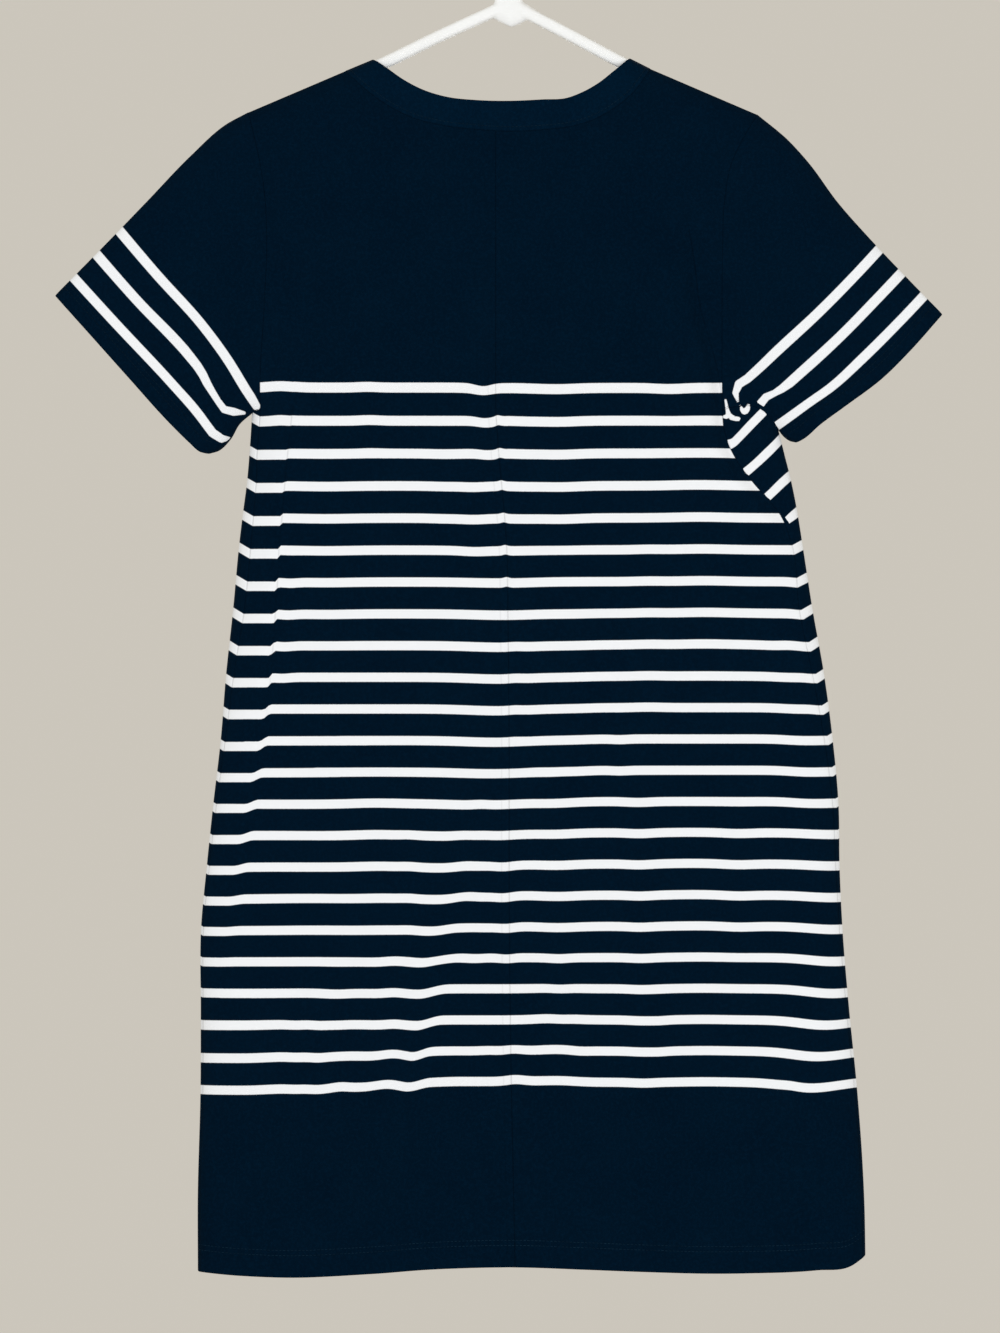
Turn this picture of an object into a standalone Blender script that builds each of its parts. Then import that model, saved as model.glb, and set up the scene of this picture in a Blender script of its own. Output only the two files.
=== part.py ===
# T-shirt dress in striped jersey, hanging on a one-piece tubular plastic hanger.
#
# Frame: the origin is the highest point inside the hanger's hook, where a rod bears.
# +Z is up, the back of the dress faces -Y, and +X is the wearer's right.
# Places on the garment are given as (x, drop): x from the hook's axis, and drop is the
# distance below the neck point, where the shoulder meets the neckline. All are in mm.

import math

import bmesh
import bpy
import numpy as np

MM = 0.001

# ---- Driving sizes of the cloth ----
NECK_POINT_Z = -103.7        # height of the neck points in the frame
WALL = 1.2                   # cloth wall
HEM_WALL = 2.4               # cloth turned up once at hem and cuffs
BAND_WALL = 1.4              # folded neckband
SEAM_GAP = 0.3               # between two sewn pieces
CHEST_HALF_DEPTH = 13.0      # from the middle plane to the cloth, hung flat
HEM_HALF_DEPTH = 15.5
CUFF_HALF_DEPTH = 8.0
SHOULDER_ROUNDING = 28.0     # how far the cloth takes to turn over the hanger's arm
SIDE_ROUNDING = 36.0         # the same at a side edge
SLEEVE_FLATTENING = 110.0    # the length over which a sleeve grows flatter
SLEEVE_LEVEL = (270.0, 60.0)  # drop at which that ends, and over how far it fades

# ---- Outline of the body: its edges, and the side seams, which lie on the back ----
BODY_COLUMNS = ("drop", "left_edge", "left_seam", "centre_seam", "right_seam", "right_edge")
BODY_ROWS = (
    (266, -192.3, -186.0, -10.6, 165.0, 202.0),
    (300, -194.5, -188.5, -8.2, 173.0, 209.5),
    (320, -196.2, -189.0, -6.4, 186.0, 214.3),
    (345, -199.4, -191.0, -4.0, 208.0, 220.0),
    (368, -202.1, -193.0, -2.4, 217.5, 223.2),
    (417, -206.7, -198.0, -1.4, 222.0, 232.0),
    (466, -212.0, -206.0, -0.8, 232.0, 241.0),
    (515, -216.0, -212.5, -0.4, 241.0, 247.5),
    (565, -221.8, -219.4, -0.4, 247.5, 252.0),
    (612, -226.7, -224.8, -0.4, 249.8, 252.8),
    (659, -231.0, -229.2, -0.2, 252.8, 255.0),
    (720, -231.2, -229.5, 0.4, 258.0, 260.0),
    (780, -231.4, -229.7, 1.6, 264.0, 266.0),
    (865, -233.5, -231.8, 4.2, 269.5, 271.5),
    (918, -233.4, -231.7, 6.0, 270.5, 272.5),
)
HEM_LINE = ((-233.4, 918), (-202, 920.5), (-160, 922), (-100, 919), (-58, 916), (5, 914.2),
            (60, 916), (110, 918), (180, 918.8), (235, 916.5), (262, 913), (272.5, 906))

# ---- Shoulders, sleeves and neck ----
NECK_POINT = {"left": (-100.7, 0.4), "right": (93.9, -0.4)}
BAND_CORNER = {"left": (-121.9, 9.2), "right": (109.8, 7.6)}
SHOULDER_END = {"left": (-195.3, 40.5), "right": (190.5, 42.2)}
UNDERARM = {"left": (-186.0, 266.0), "right": (165.0, 266.0)}
UNDERARM_EDGE = {"left": (-192.3, 268.6), "right": (205.0, 280.0)}
CUFF_TOP = {"left": (-341.4, 179.0), "right": (330.5, 193.2)}
CUFF_BOTTOM = {"left": (-222.0, 299.4), "right": (219.0, 290.6)}
SLEEVE_TOP_LINE = {
    "left": ((-212, 49.6), (-238.5, 73.1), (-271.8, 107.8), (-300, 137)),
    "right": ((213.9, 61.7), (229.4, 78.8), (251.3, 108.6), (275.5, 136.0), (303, 165)),
}
CUFF_LINE = {
    "left": ((-314, 209.5), (-286.5, 240.3), (-252.8, 277.5), (-236, 293)),
    "right": ((304.3, 222.6), (285.2, 241.5), (256, 263.5), (237, 277.5)),
}
SLEEVE_UNDER_LINE = {
    "left": ((-208.5, 288.4), (-201.5, 276.7)),
    "right": ((212, 287.0),),
}
ARMHOLE_BACK = {
    "left": ((-191, 57), (-186, 80), (-182.2, 107), (-181, 140), (-183, 190), (-186, 243)),
    "right": ((181, 58), (170.5, 80), (165.5, 107), (163.8, 150), (163.5, 200), (163.5, 245)),
}
ARMHOLE_FRONT = {
    "left": ((-185, 66), (-176, 105), (-172, 155), (-175, 208), (-183, 248)),
    "right": ((181, 70), (172, 110), (169, 160), (174, 212), (190, 254)),
}
WRAP_TOP = {"left": ((-189.4, 266.6),), "right": ((180, 263.5), (195, 267))}
SLEEVE_GUSSET_LINE = {"left": ((-197, 266.5), (-211, 278.5)), "right": ((182, 257), (208, 265))}
CUFF_GUSSET_SHARE = 0.9      # where that line from the underarm meets the cuff

# ---- Neckband: its edge, and the seam that joins it to the body ----
NECK_EDGE_LINE = {
    "back": ((-91.6, 6.8), (-77.7, 16.7), (-62.6, 24.5), (-44.9, 29.8), (-22.2, 32.3), (3, 32.9),
             (28.2, 31.8), (45.5, 30.8), (58, 26.2), (69.9, 19.5), (81.2, 10.6)),
    "front": ((-91, 20), (-76.4, 46), (-52, 75.7), (-27.7, 91), (-3.4, 95), (21, 91),
              (45.3, 75.7), (69.6, 46), (84.2, 20)),
}
NECK_SEAM_LINE = {
    "back": ((-105.5, 24.5), (-89, 36.2), (-70.5, 45.4), (-49.5, 50.8), (-22, 54.2), (5, 55.5),
             (29, 54.2), (50, 51.7), (67, 46.4), (82, 38), (96, 26.5)),
    "front": ((-110.3, 32.5), (-92.9, 62.5), (-64, 96.4), (-35, 113), (-6, 117), (23, 113),
              (52, 96.4), (81, 62.5), (98.3, 32.5)),
}

# ---- Largest folds: a soft ridge (height above 0) or trough along a line ----
FOLD_COLUMNS = ("sheet", "height", "width", "line")
FOLDS = (
    ("back", -1.6, 10, ((-184, 92), (-181, 125))),
    ("back", 1.4, 16, ((-164, 275), (-168, 340), (-178, 420), (-188, 516))),
    ("back", -2.2, 22, ((-133, 690), (-134, 780), (-138, 915))),
    ("back", 2.4, 22, ((-92, 640), (-92, 780), (-96, 915))),
    ("back", -1.6, 20, ((-52, 690), (-56, 800), (-60, 915))),
    ("back", 1.8, 26, ((140, 660), (142, 780), (150, 915))),
    ("back", -1.8, 24, ((100, 620), (102, 780), (104, 915))),
    ("front", 2.0, 26, ((120, 300), (140, 600), (160, 915))),
    ("front", -2.2, 26, ((60, 480), (70, 700), (76, 915))),
    ("front", 2.2, 24, ((-70, 560), (-80, 740), (-90, 915))),
    ("front", -1.8, 24, ((-130, 380), (-142, 640), (-150, 915))),
)

# ---- The deep fold by the right underarm: the back laps over what lies beyond this line ----
LAP_COLUMNS = ("x", "drop", "share")   # share of the full step that it has there
LAP_LINE = (
    (134.0, 118, 0.0),
    (141.0, 145, 0.4),
    (146.0, 180, 0.7),
    (151.0, 208, 0.9),
    (159.5, 240, 1.0),
    (165.0, 266, 1.0),
    (173.0, 300, 1.0),
    (186.0, 320, 0.9),
    (208.0, 345, 0.5),
    (217.5, 368, 0.0),
)
LAP_DROP = 4.2
LAP_ROLL = 6.0               # the back's edge turns down over this width
LAP_RECOVERY = 24.0          # the cloth beyond comes back up over this one
LAP_RIDGE = (1.6, 14.0, 9.0)  # height, distance back from the line, width

# ---- Where the grids of the panels have their lines, as shares of each length ----
HEM_SHARE = 0.028            # of the body's side: 19 mm, turned up
CUFF_SHARE = 0.88            # from here on the sleeve is turned up
SIDE_ROWS = (0, HEM_SHARE, 0.031, 0.09, 0.16, 0.23, 0.30, 0.37, 0.44, 0.51, 0.58, 0.65, 0.72,
             0.78, 0.83, 0.875, 0.915, 0.95, 0.98, 1)
ARMHOLE_ROWS = (0, 0.04, 0.10, 0.19, 0.30, 0.42, 0.54, 0.66, 0.76, 0.85, 0.915, 0.955, 0.98,
                0.993, 0.9985, 1)
SHOULDER_COLUMNS = (0, 0.02, 0.08, 0.19, 0.36, 0.60, 1)
NECK_COLUMNS = (0, 0.015, 0.07, 0.19, 0.36, 0.57, 0.78, 1)
SHOULDER_SHARE = 0.42        # of a half panel's width
WRAP_COLUMNS = (0, 0.12, 0.38, 0.72, 1)
SLEEVE_ROWS = (0, 0.14, 0.32, 0.52, 0.72, 0.865, CUFF_SHARE, 1)
BAND_ROWS = (0, 0.5, 1)
WELD_DISTANCE = 0.02         # between two grids of one panel
BODY_HOLD = 12               # the hem's wave and the underarm's line fade fast along the body
UNDERARM_BLEND = 6           # a side line bends to its underarm over this part of its length

# ---- Hanger ----
TUBE_RADIUS = 4.0
ARM_BELOW_RIDGE = 6.5        # from the cloth's ridge down to the arm's centre line
BAR_DROP = 77.0
ARM_INSET = {"left": 7.0, "right": 5.0}    # of the arm's bend from the shoulder's end
ARM_BEND = ((7.0, 5.2, 0.0), (10.5, 0.0, 0.5), (5.0, -3.2, 1.0), (-5.0, 0.0, 1.0))
ARM_BEND_COLUMNS = ("out", "below", "share")   # share of the way down from the arm to the bar
HUB = (3.4, -34.5)           # (x, drop)
APEX = (2.7, -41.5)
NECK_RISE = 6.0              # straight up from the apex
NECK_BEND = (5.5, -2.0)      # x, and drop from halfway between the apex and the hook
NECK_END = (-2.2, 2.8)       # from the start of the hook's circle
HOOK_RADIUS = 21.0           # of the hook's centre line
HOOK_INSIDE = 17.0
HOOK_TIP_ANGLE = 205.0       # degrees round from +X to the open tip
HOOK_NECK_ANGLE = -38.0
ARM_STEPS = 12
BEND_STEPS = 9
NECK_STEPS = 7
HOOK_STEPS = 19
NECK_BASE_RADIUS = 8.6
NECK_TAPER = (1, 4)          # first step of the route at which it narrows, and over how many
BOSS_RADII = (14.5, 5.6, 10.2)
BOSS_CENTRE = (4.2, -33.4)
TUBE_RESOLUTION = 2

FINISHES = {                 # colour and roughness
    "jersey": ((0.004, 0.016, 0.034, 1.0), 0.85),
    "rib": ((0.004, 0.015, 0.032, 1.0), 0.88),
    "plastic": ((0.86, 0.88, 0.88, 1.0), 0.35),
}


# ---- Curves ----

def through(keys, values):
    """Smooth curve through a table: each row's slope comes from the rows beside it."""
    keys = np.asarray(keys, float)
    values = np.asarray(values, float)
    slopes = np.gradient(values, keys, axis=0)

    def value(key):
        key = min(max(key, keys[0]), keys[-1])
        row = min(int(np.searchsorted(keys, key, side="right")) - 1, len(keys) - 2)
        span = keys[row + 1] - keys[row]
        t = (key - keys[row]) / span
        return ((2 * t**3 - 3 * t**2 + 1) * values[row]
                + (t**3 - 2 * t**2 + t) * span * slopes[row]
                + (3 * t**2 - 2 * t**3) * values[row + 1]
                + (t**3 - t**2) * span * slopes[row + 1])

    return value


def curve(*points):
    """Smooth curve through points, read by the share of its length from 0 to 1."""
    points = np.asarray(points, float)
    steps = np.hypot(*(points[1:] - points[:-1])[:, :2].T)
    lengths = np.concatenate(([0.0], np.cumsum(steps)))
    return through(lengths / lengths[-1], points)


def joined(first, second, share):
    """Two curves as one, the first taking this share of the whole."""
    def value(t):
        if t <= share:
            return first(t / share)
        return second((t - share) / (1 - share))
    return value


def reverse(line):
    return lambda t: line(1 - t)


def sampled(line, count=60):
    return np.array([line(step / count) for step in range(count + 1)])


def smoothstep(value):
    value = min(max(value, 0.0), 1.0)
    return value * value * (3 - 2 * value)


def table_column(name):
    place = BODY_COLUMNS.index(name)
    drops = [row[0] for row in BODY_ROWS]
    return through(drops, [row[place] for row in BODY_ROWS])


body_line = {name: table_column(name) for name in BODY_COLUMNS[1:]}
hem_drop = through([point[0] for point in HEM_LINE], [point[1] for point in HEM_LINE])

shoulder = {side: curve(SHOULDER_END[side], BAND_CORNER[side]) for side in NECK_POINT}
sleeve_top = {side: curve(SHOULDER_END[side], *SLEEVE_TOP_LINE[side], CUFF_TOP[side])
              for side in NECK_POINT}
cuff = {side: curve(CUFF_TOP[side], *CUFF_LINE[side], CUFF_BOTTOM[side]) for side in NECK_POINT}
sleeve_under = {side: curve(UNDERARM_EDGE[side], *reversed(SLEEVE_UNDER_LINE[side]),
                            CUFF_BOTTOM[side]) for side in NECK_POINT}
armhole_back = {side: curve(UNDERARM[side], *reversed(ARMHOLE_BACK[side]), SHOULDER_END[side])
                for side in NECK_POINT}
armhole_front = {side: curve(UNDERARM_EDGE[side], *reversed(ARMHOLE_FRONT[side]),
                             SHOULDER_END[side]) for side in NECK_POINT}
wrap_top = {side: curve(UNDERARM[side], *WRAP_TOP[side], UNDERARM_EDGE[side])
            for side in NECK_POINT}


def side_line(name, top):
    """A line down the body from a point at the underarm to the hem, read from the hem up."""
    column = body_line[name]
    foot_x = column(BODY_ROWS[-1][0])
    foot = hem_drop(foot_x)
    start = column(top[1])

    def value(t):
        drop = foot + (top[1] - foot) * t
        blend = smoothstep(1 - UNDERARM_BLEND * (1 - t))
        return np.array([column(drop) + (top[0] - start) * blend, drop])

    return value


def centre_top():
    drop = BODY_ROWS[0][0]
    return (body_line["centre_seam"](drop), drop)


def hem_between(left, right):
    """The hem, from the foot of one line down the body to the foot of another."""
    start, end = left(0)[0], right(0)[0]

    def value(u):
        x = start + (end - start) * u
        return np.array([x, hem_drop(x)])

    return value


neck_edge = {kind: curve(NECK_POINT["left"], *line, NECK_POINT["right"])
             for kind, line in NECK_EDGE_LINE.items()}
neck_seam = {kind: curve(BAND_CORNER["left"], *line, BAND_CORNER["right"])
             for kind, line in NECK_SEAM_LINE.items()}


# ---- Form of the hanging cloth: half depth over its outline ----

class Line:
    """A polyline that tells how far a point is from it, and on which side."""

    def __init__(self, points, inside=1):
        self.points = np.asarray(points, float)
        flat = self.points[:, :2]
        self.starts = flat[:-1]
        self.spans = flat[1:] - flat[:-1]
        self.squares = (self.spans * self.spans).sum(axis=1)
        sides = np.stack([-self.spans[:, 1], self.spans[:, 0]], axis=1)
        sides *= inside / np.sqrt(self.squares)[:, None]
        self.sides = sides
        self.corners = np.vstack([sides[:1], sides[:-1] + sides[1:], sides[-1:]])

    def near(self, point):
        """Distance, above 0 on the inside, and the place along the line, in steps."""
        along = np.clip(((point - self.starts) * self.spans).sum(axis=1) / self.squares, 0, 1)
        gaps = point - self.starts - self.spans * along[:, None]
        squares = (gaps * gaps).sum(axis=1)
        step = int(squares.argmin())
        share = float(along[step])
        side = self.sides[step]
        if share in (0.0, 1.0):
            side = self.corners[step + int(share)]
        gap = math.copysign(math.sqrt(squares[step]), float((gaps[step] * side).sum()))
        return gap, step + share


def edge_lines():
    """The four lines where front and back meet: over each shoulder and down each side."""
    lines = []
    for side, inside in (("left", -1), ("right", 1)):
        ridge = [np.array([NECK_POINT[side], BAND_CORNER[side]]), sampled(shoulder[side])[-2::-1],
                 sampled(sleeve_top[side])[1:]]
        lines.append((Line(np.vstack(ridge), inside), SHOULDER_ROUNDING))
        flank = side_line(side + "_edge", UNDERARM_EDGE[side])
        under = [sampled(sleeve_under[side])[::-1], sampled(flank)[-2::-1]]
        lines.append((Line(np.vstack(under), inside), SIDE_ROUNDING))
    return lines


def fold_lines():
    folds = [dict(zip(FOLD_COLUMNS, row)) for row in FOLDS]
    for fold in folds:
        fold["line"] = Line(sampled(curve(*fold["line"]), 12))
    return folds


EDGES = edge_lines()
FOLD_LINES = fold_lines()
LAP = Line(sampled(curve(*LAP_LINE), 40))


def lap(point):
    """Step of the deep fold: it falls sharply at the line and comes back slowly beyond it."""
    gap, place = LAP.near(point)
    share = np.interp(place, range(len(LAP.points)), LAP.points[:, LAP_COLUMNS.index("share")])
    if gap < 0:
        return -LAP_DROP * share * math.exp(-(gap / LAP_RECOVERY) ** 2)
    height, back, width = LAP_RIDGE
    foot = math.exp(-(gap / LAP_ROLL) ** 2)
    rise = math.exp(-((gap - back) / width) ** 2) - math.exp(-(back / width) ** 2) * foot
    return share * (height * rise - LAP_DROP * foot)


def relief(point, sheet):
    """How far the folds lift this sheet of cloth from its plain form."""
    total = lap(np.asarray(point)) if sheet == "back" else 0.0
    for fold in FOLD_LINES:
        if fold["sheet"] == sheet:
            total += fold["height"] * math.exp(-(fold["line"].near(point)[0] / fold["width"]) ** 2)
    return total


def depth_squared(point, sheet):
    """Square of the half depth; it falls evenly to nothing where front meets back."""
    x, drop = point
    share = smoothstep((drop - BODY_ROWS[0][0]) / (BODY_ROWS[-1][0] - BODY_ROWS[0][0]))
    depth = CHEST_HALF_DEPTH + (HEM_HALF_DEPTH - CHEST_HALF_DEPTH) * share
    reach = -SHOULDER_END["left"][0]
    level, fade = SLEEVE_LEVEL
    flat = smoothstep((abs(x) - reach) / SLEEVE_FLATTENING) * smoothstep(1 - (drop - level) / fade)
    depth += (CUFF_HALF_DEPTH - depth) * flat
    depth += relief(point, sheet)
    square = depth * depth
    for line, rounding in EDGES:
        near = min(line.near(point)[0] / rounding, 1.0)
        square *= near * (2 - near)
    return square


def half_depth(point, sheet):
    return math.sqrt(max(depth_squared(point, sheet), 0.0))


def outward(point, sheet, front):
    """Direction straight out of the cloth, as (x, y, drop)."""
    step = 0.05
    x, drop = point
    slope_x = (depth_squared((x + step, drop), sheet)
               - depth_squared((x - step, drop), sheet)) / (4 * step)
    slope_drop = (depth_squared((x, drop + step), sheet)
                  - depth_squared((x, drop - step), sheet)) / (4 * step)
    half = half_depth(point, sheet) * front
    normal = np.array([-slope_x, half, -slope_drop])
    return normal / max(np.linalg.norm(normal), 1e-9)


# ---- Panels ----

def patch_between(left, right, bottom, top, hold=1):
    """Patch between four curves: u runs from left to right and v from bottom to top.

    The shapes of bottom and top fade over the patch, the sooner the larger hold is.
    """
    def at(u, v):
        foot = bottom(u) - (1 - u) * bottom(0) - u * bottom(1)
        head = top(u) - (1 - u) * top(0) - u * top(1)
        return (1 - u) * left(v) + u * right(v) + (1 - v) ** hold * foot + v**hold * head

    return at


class Cloth:
    """Grids of one panel, laid side by side, welded and given their wall."""

    def __init__(self, name):
        self.name = name
        self.mesh = bmesh.new()
        self.wall = self.mesh.verts.layers.float.new("wall")
        self.normal = self.mesh.verts.layers.float_vector.new("outward")

    def add(self, patch, columns, rows, sheet, front, walls, seams="", turned="", held=()):
        """Add one grid: seams names its sewn sides, turned its sides at an edge of the outline,
        and held its corners that another grid of the same panel shares."""
        places = np.zeros((len(rows), len(columns), 3))
        normals = np.zeros_like(places)
        for row, v in enumerate(rows):
            for column, u in enumerate(columns):
                point = patch(u, v)
                at_left = "left" in turned and column == 0
                at_right = "right" in turned and column == len(columns) - 1
                side = 0 if at_left or at_right else front
                places[row, column] = point[0], half_depth(point, sheet) * side, point[1]
                normals[row, column] = outward(point, sheet, side)
        places = self.trim(places, seams, held)
        verts = {}
        for (row, column), wall in np.ndenumerate(np.repeat([walls], len(columns), 0).T):
            x, y, drop = places[row, column]
            vert = self.mesh.verts.new((x, y, NECK_POINT_Z - drop))
            vert[self.wall] = wall
            vert[self.normal] = normals[row, column] * (1, 1, -1)
            verts[row, column] = vert
        for row in range(len(rows) - 1):
            for column in range(len(columns) - 1):
                corners = ((row, column), (row, column + 1), (row + 1, column + 1), (row + 1, column))
                self.mesh.faces.new([verts[corner] for corner in corners])

    @staticmethod
    def trim(places, seams, held):
        """Move each sewn side in by half the seam's gap, apart from the held corners."""
        inner = places.copy()
        sides = {"left": (np.s_[:, 0], np.s_[:, 1]), "right": (np.s_[:, -1], np.s_[:, -2]),
                 "bottom": (np.s_[0, :], np.s_[1, :]), "top": (np.s_[-1, :], np.s_[-2, :])}
        for side in seams.split():
            edge, beside = sides[side]
            step = places[beside] - places[edge]
            length = np.linalg.norm(step, axis=1, keepdims=True)
            inner[edge] += step / np.maximum(length, 1e-9) * (SEAM_GAP / 2)
        for corner in held:
            inner[corner] = places[corner]
        return inner

    def finish(self, material, collection):
        """Weld the grids, give them their wall towards the inside and place the panel."""
        mesh = self.mesh
        bmesh.ops.remove_doubles(mesh, verts=mesh.verts[:], dist=WELD_DISTANCE)
        made = bmesh.ops.extrude_face_region(mesh, geom=mesh.faces[:])["geom"]
        for vert in made:
            if isinstance(vert, bmesh.types.BMVert):
                vert.co -= vert[self.normal] * vert[self.wall]
        bmesh.ops.recalc_face_normals(mesh, faces=mesh.faces[:])
        bmesh.ops.scale(mesh, vec=(MM, MM, MM), verts=mesh.verts[:])
        return place_mesh(self.name, mesh, material, collection)


def place_mesh(name, mesh, material, collection):
    data = bpy.data.meshes.new(name)
    mesh.to_mesh(data)
    mesh.free()
    data.shade_smooth()
    data.set_sharp_from_angle(angle=math.radians(40))
    data.materials.append(material)
    piece = bpy.data.objects.new(name, data)
    collection.objects.link(piece)
    return piece


def half_columns():
    """Columns from a panel's side to its centre, at the shoulder and then at the neck."""
    first = [share * SHOULDER_SHARE for share in SHOULDER_COLUMNS]
    rest = [SHOULDER_SHARE + share * (1 - SHOULDER_SHARE) for share in NECK_COLUMNS[1:]]
    return first + rest


def half_top(side, kind):
    """Top of a half panel: along the shoulder, then along the neckband's seam to the centre."""
    seam = neck_seam[kind]
    middle = neck_share(kind)
    if side == "left":
        return joined(shoulder[side], lambda t: seam(t * middle), SHOULDER_SHARE)
    return joined(shoulder[side], lambda t: seam(1 - t * (1 - middle)), SHOULDER_SHARE)


def neck_share(kind):
    """Where the centre line meets the neckband, as a share of the band's seam."""
    if kind == "front":
        return 0.5
    points = sampled(neck_seam[kind])
    return float(np.interp(centre_top()[0], points[:, 0], np.linspace(0, 1, len(points))))


def body_walls():
    return [HEM_WALL if share <= HEM_SHARE else WALL for share in SIDE_ROWS]


def make_back(side, material, collection):
    cloth = Cloth("back_" + side)
    flank = side_line(side + "_seam", UNDERARM[side])
    centre = side_line("centre_seam", centre_top())
    level = curve(UNDERARM[side], centre_top())
    lower = patch_between(flank, centre, hem_between(flank, centre), level, BODY_HOLD)
    top = half_top(side, "back")
    upper = patch_between(armhole_back[side], curve(centre_top(), top(1)), level, top)
    columns = half_columns()
    cloth.add(lower, columns, SIDE_ROWS, "back", -1, body_walls(), "left right")
    cloth.add(upper, columns, ARMHOLE_ROWS, "back", -1, [WALL] * len(ARMHOLE_ROWS),
              "left right top")
    return cloth.finish(material, collection)


def make_front(material, collection):
    cloth = Cloth("front")
    edge = {side: side_line(side + "_edge", UNDERARM_EDGE[side]) for side in NECK_POINT}
    half = half_columns()
    columns = [share / 2 for share in half] + [1 - share / 2 for share in reversed(half[:-1])]
    level = curve(UNDERARM_EDGE["left"], UNDERARM_EDGE["right"])

    def top(u):
        if u <= 0.5:
            return half_top("left", "front")(2 * u)
        return half_top("right", "front")(2 - 2 * u)

    hem = hem_between(edge["left"], edge["right"])
    lower = patch_between(edge["left"], edge["right"], hem, level, BODY_HOLD)
    upper = patch_between(armhole_front["left"], armhole_front["right"], level, top)
    cloth.add(lower, columns, SIDE_ROWS, "front", 1, body_walls(), "", "left right")
    cloth.add(upper, columns, ARMHOLE_ROWS, "front", 1, [WALL] * len(ARMHOLE_ROWS),
              "left right top", held=((0, 0), (0, -1)))
    for side in NECK_POINT:
        seam = side_line(side + "_seam", UNDERARM[side])
        foot = curve(seam(0), edge[side](0))
        wrap = patch_between(seam, edge[side], foot, wrap_top[side], BODY_HOLD)
        cloth.add(wrap, WRAP_COLUMNS, SIDE_ROWS, "back", -1, body_walls(), "left top", "right",
                  held=((-1, -1),))
    return cloth.finish(material, collection)


def make_sleeve(side, material, collection):
    cloth = Cloth("sleeve_" + side)
    walls = [HEM_WALL if share >= CUFF_SHARE else WALL for share in SLEEVE_ROWS]
    down = [1 - share for share in reversed(ARMHOLE_ROWS)]
    turn = CUFF_GUSSET_SHARE
    gusset = curve(UNDERARM[side], *SLEEVE_GUSSET_LINE[side], cuff[side](turn))
    under = sleeve_under[side]
    back = patch_between(sleeve_top[side], gusset, reverse(armhole_back[side]),
                         lambda u: cuff[side](u * turn))
    tail = patch_between(gusset, under, wrap_top[side],
                         lambda u: cuff[side](turn + u * (1 - turn)))
    front = patch_between(sleeve_top[side], under, reverse(armhole_front[side]), cuff[side])
    cloth.add(back, down, SLEEVE_ROWS, "back", -1, walls, "bottom", "left")
    cloth.add(tail, WRAP_COLUMNS, SLEEVE_ROWS, "back", -1, walls, "bottom", "right")
    cloth.add(front, down, SLEEVE_ROWS, "front", 1, walls, "bottom", "left right")
    return cloth.finish(material, collection)


def make_neckband(material, collection):
    cloth = Cloth("neckband")
    for kind, front in (("back", -1), ("front", 1)):
        middle = neck_share(kind)
        columns = ([share * middle for share in NECK_COLUMNS]
                   + [1 - share * (1 - middle) for share in reversed(NECK_COLUMNS[:-1])])
        seam, edge = neck_seam[kind], neck_edge[kind]
        left = curve(BAND_CORNER["left"], NECK_POINT["left"])
        right = curve(BAND_CORNER["right"], NECK_POINT["right"])
        cloth.add(patch_between(left, right, seam, edge), columns, BAND_ROWS, kind, front,
                  [BAND_WALL] * len(BAND_ROWS), "bottom", "left right")
    return cloth.finish(material, collection)


# ---- Hanger ----

def tube(name, route, radii, cyclic, collection):
    """Round tube along a route of (x, drop) points in the middle plane."""
    data = bpy.data.curves.new(name + "_line", "CURVE")
    data.dimensions = "3D"
    data.bevel_depth = TUBE_RADIUS * MM
    data.bevel_resolution = TUBE_RESOLUTION
    data.use_fill_caps = not cyclic
    spline = data.splines.new("POLY")
    spline.points.add(len(route) - 1)
    for point, (x, drop), radius in zip(spline.points, route, radii):
        point.co = (x * MM, 0, (NECK_POINT_Z - drop) * MM, 1)
        point.radius = radius / TUBE_RADIUS
    spline.use_cyclic_u = cyclic
    line = bpy.data.objects.new(name + "_line", data)
    collection.objects.link(line)
    bpy.context.view_layer.update()
    evaluated = line.evaluated_get(bpy.context.evaluated_depsgraph_get())
    mesh = bmesh.new()
    mesh.from_mesh(evaluated.to_mesh())
    bpy.data.objects.remove(line)
    bmesh.ops.remove_doubles(mesh, verts=mesh.verts[:], dist=WELD_DISTANCE * MM)
    solid = bpy.data.meshes.new(name)
    mesh.to_mesh(solid)
    mesh.free()
    piece = bpy.data.objects.new(name, solid)
    collection.objects.link(piece)
    return piece


def arm_route(side):
    """From the hub out along one arm, round its end and back to the bar."""
    sign = -1 if side == "left" else 1
    below = np.array([0, ARM_BELOW_RIDGE])
    neck = NECK_POINT[side] + below
    corner = BAND_CORNER[side] + below
    end = SHOULDER_END[side] + below
    reach = end + (corner - end) * (ARM_INSET[side] / abs(corner[0] - end[0]))
    middle = np.array([neck[0], APEX[1] + neck[1]]) / 2
    arm = sampled(curve(APEX, middle, neck, corner, reach), ARM_STEPS)
    x, drop = reach
    turn = []
    for row in ARM_BEND:
        place = dict(zip(ARM_BEND_COLUMNS, row))
        turn.append((x + sign * place["out"],
                     drop + (BAR_DROP - drop) * place["share"] + place["below"]))
    bend = sampled(curve(reach, *turn), BEND_STEPS)
    return [tuple(point) for point in np.vstack([arm, bend[1:]])]


def hook_route():
    """Up the neck from the hub, round the hook's circle and to its open tip."""
    centre_drop = NECK_POINT_Z + HOOK_INSIDE
    angles = np.radians(np.linspace(HOOK_NECK_ANGLE, HOOK_TIP_ANGLE, HOOK_STEPS))
    circle = [(HOOK_RADIUS * math.cos(angle), centre_drop - HOOK_RADIUS * math.sin(angle))
              for angle in angles]
    start = circle[0]
    bend = (NECK_BEND[0], (APEX[1] + start[1]) / 2 + NECK_BEND[1])
    neck = sampled(curve(HUB, (APEX[0], APEX[1] - NECK_RISE), bend,
                         (start[0] + NECK_END[0], start[1] + NECK_END[1]), start), NECK_STEPS)
    return [tuple(point) for point in neck[:-1]] + circle


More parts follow.
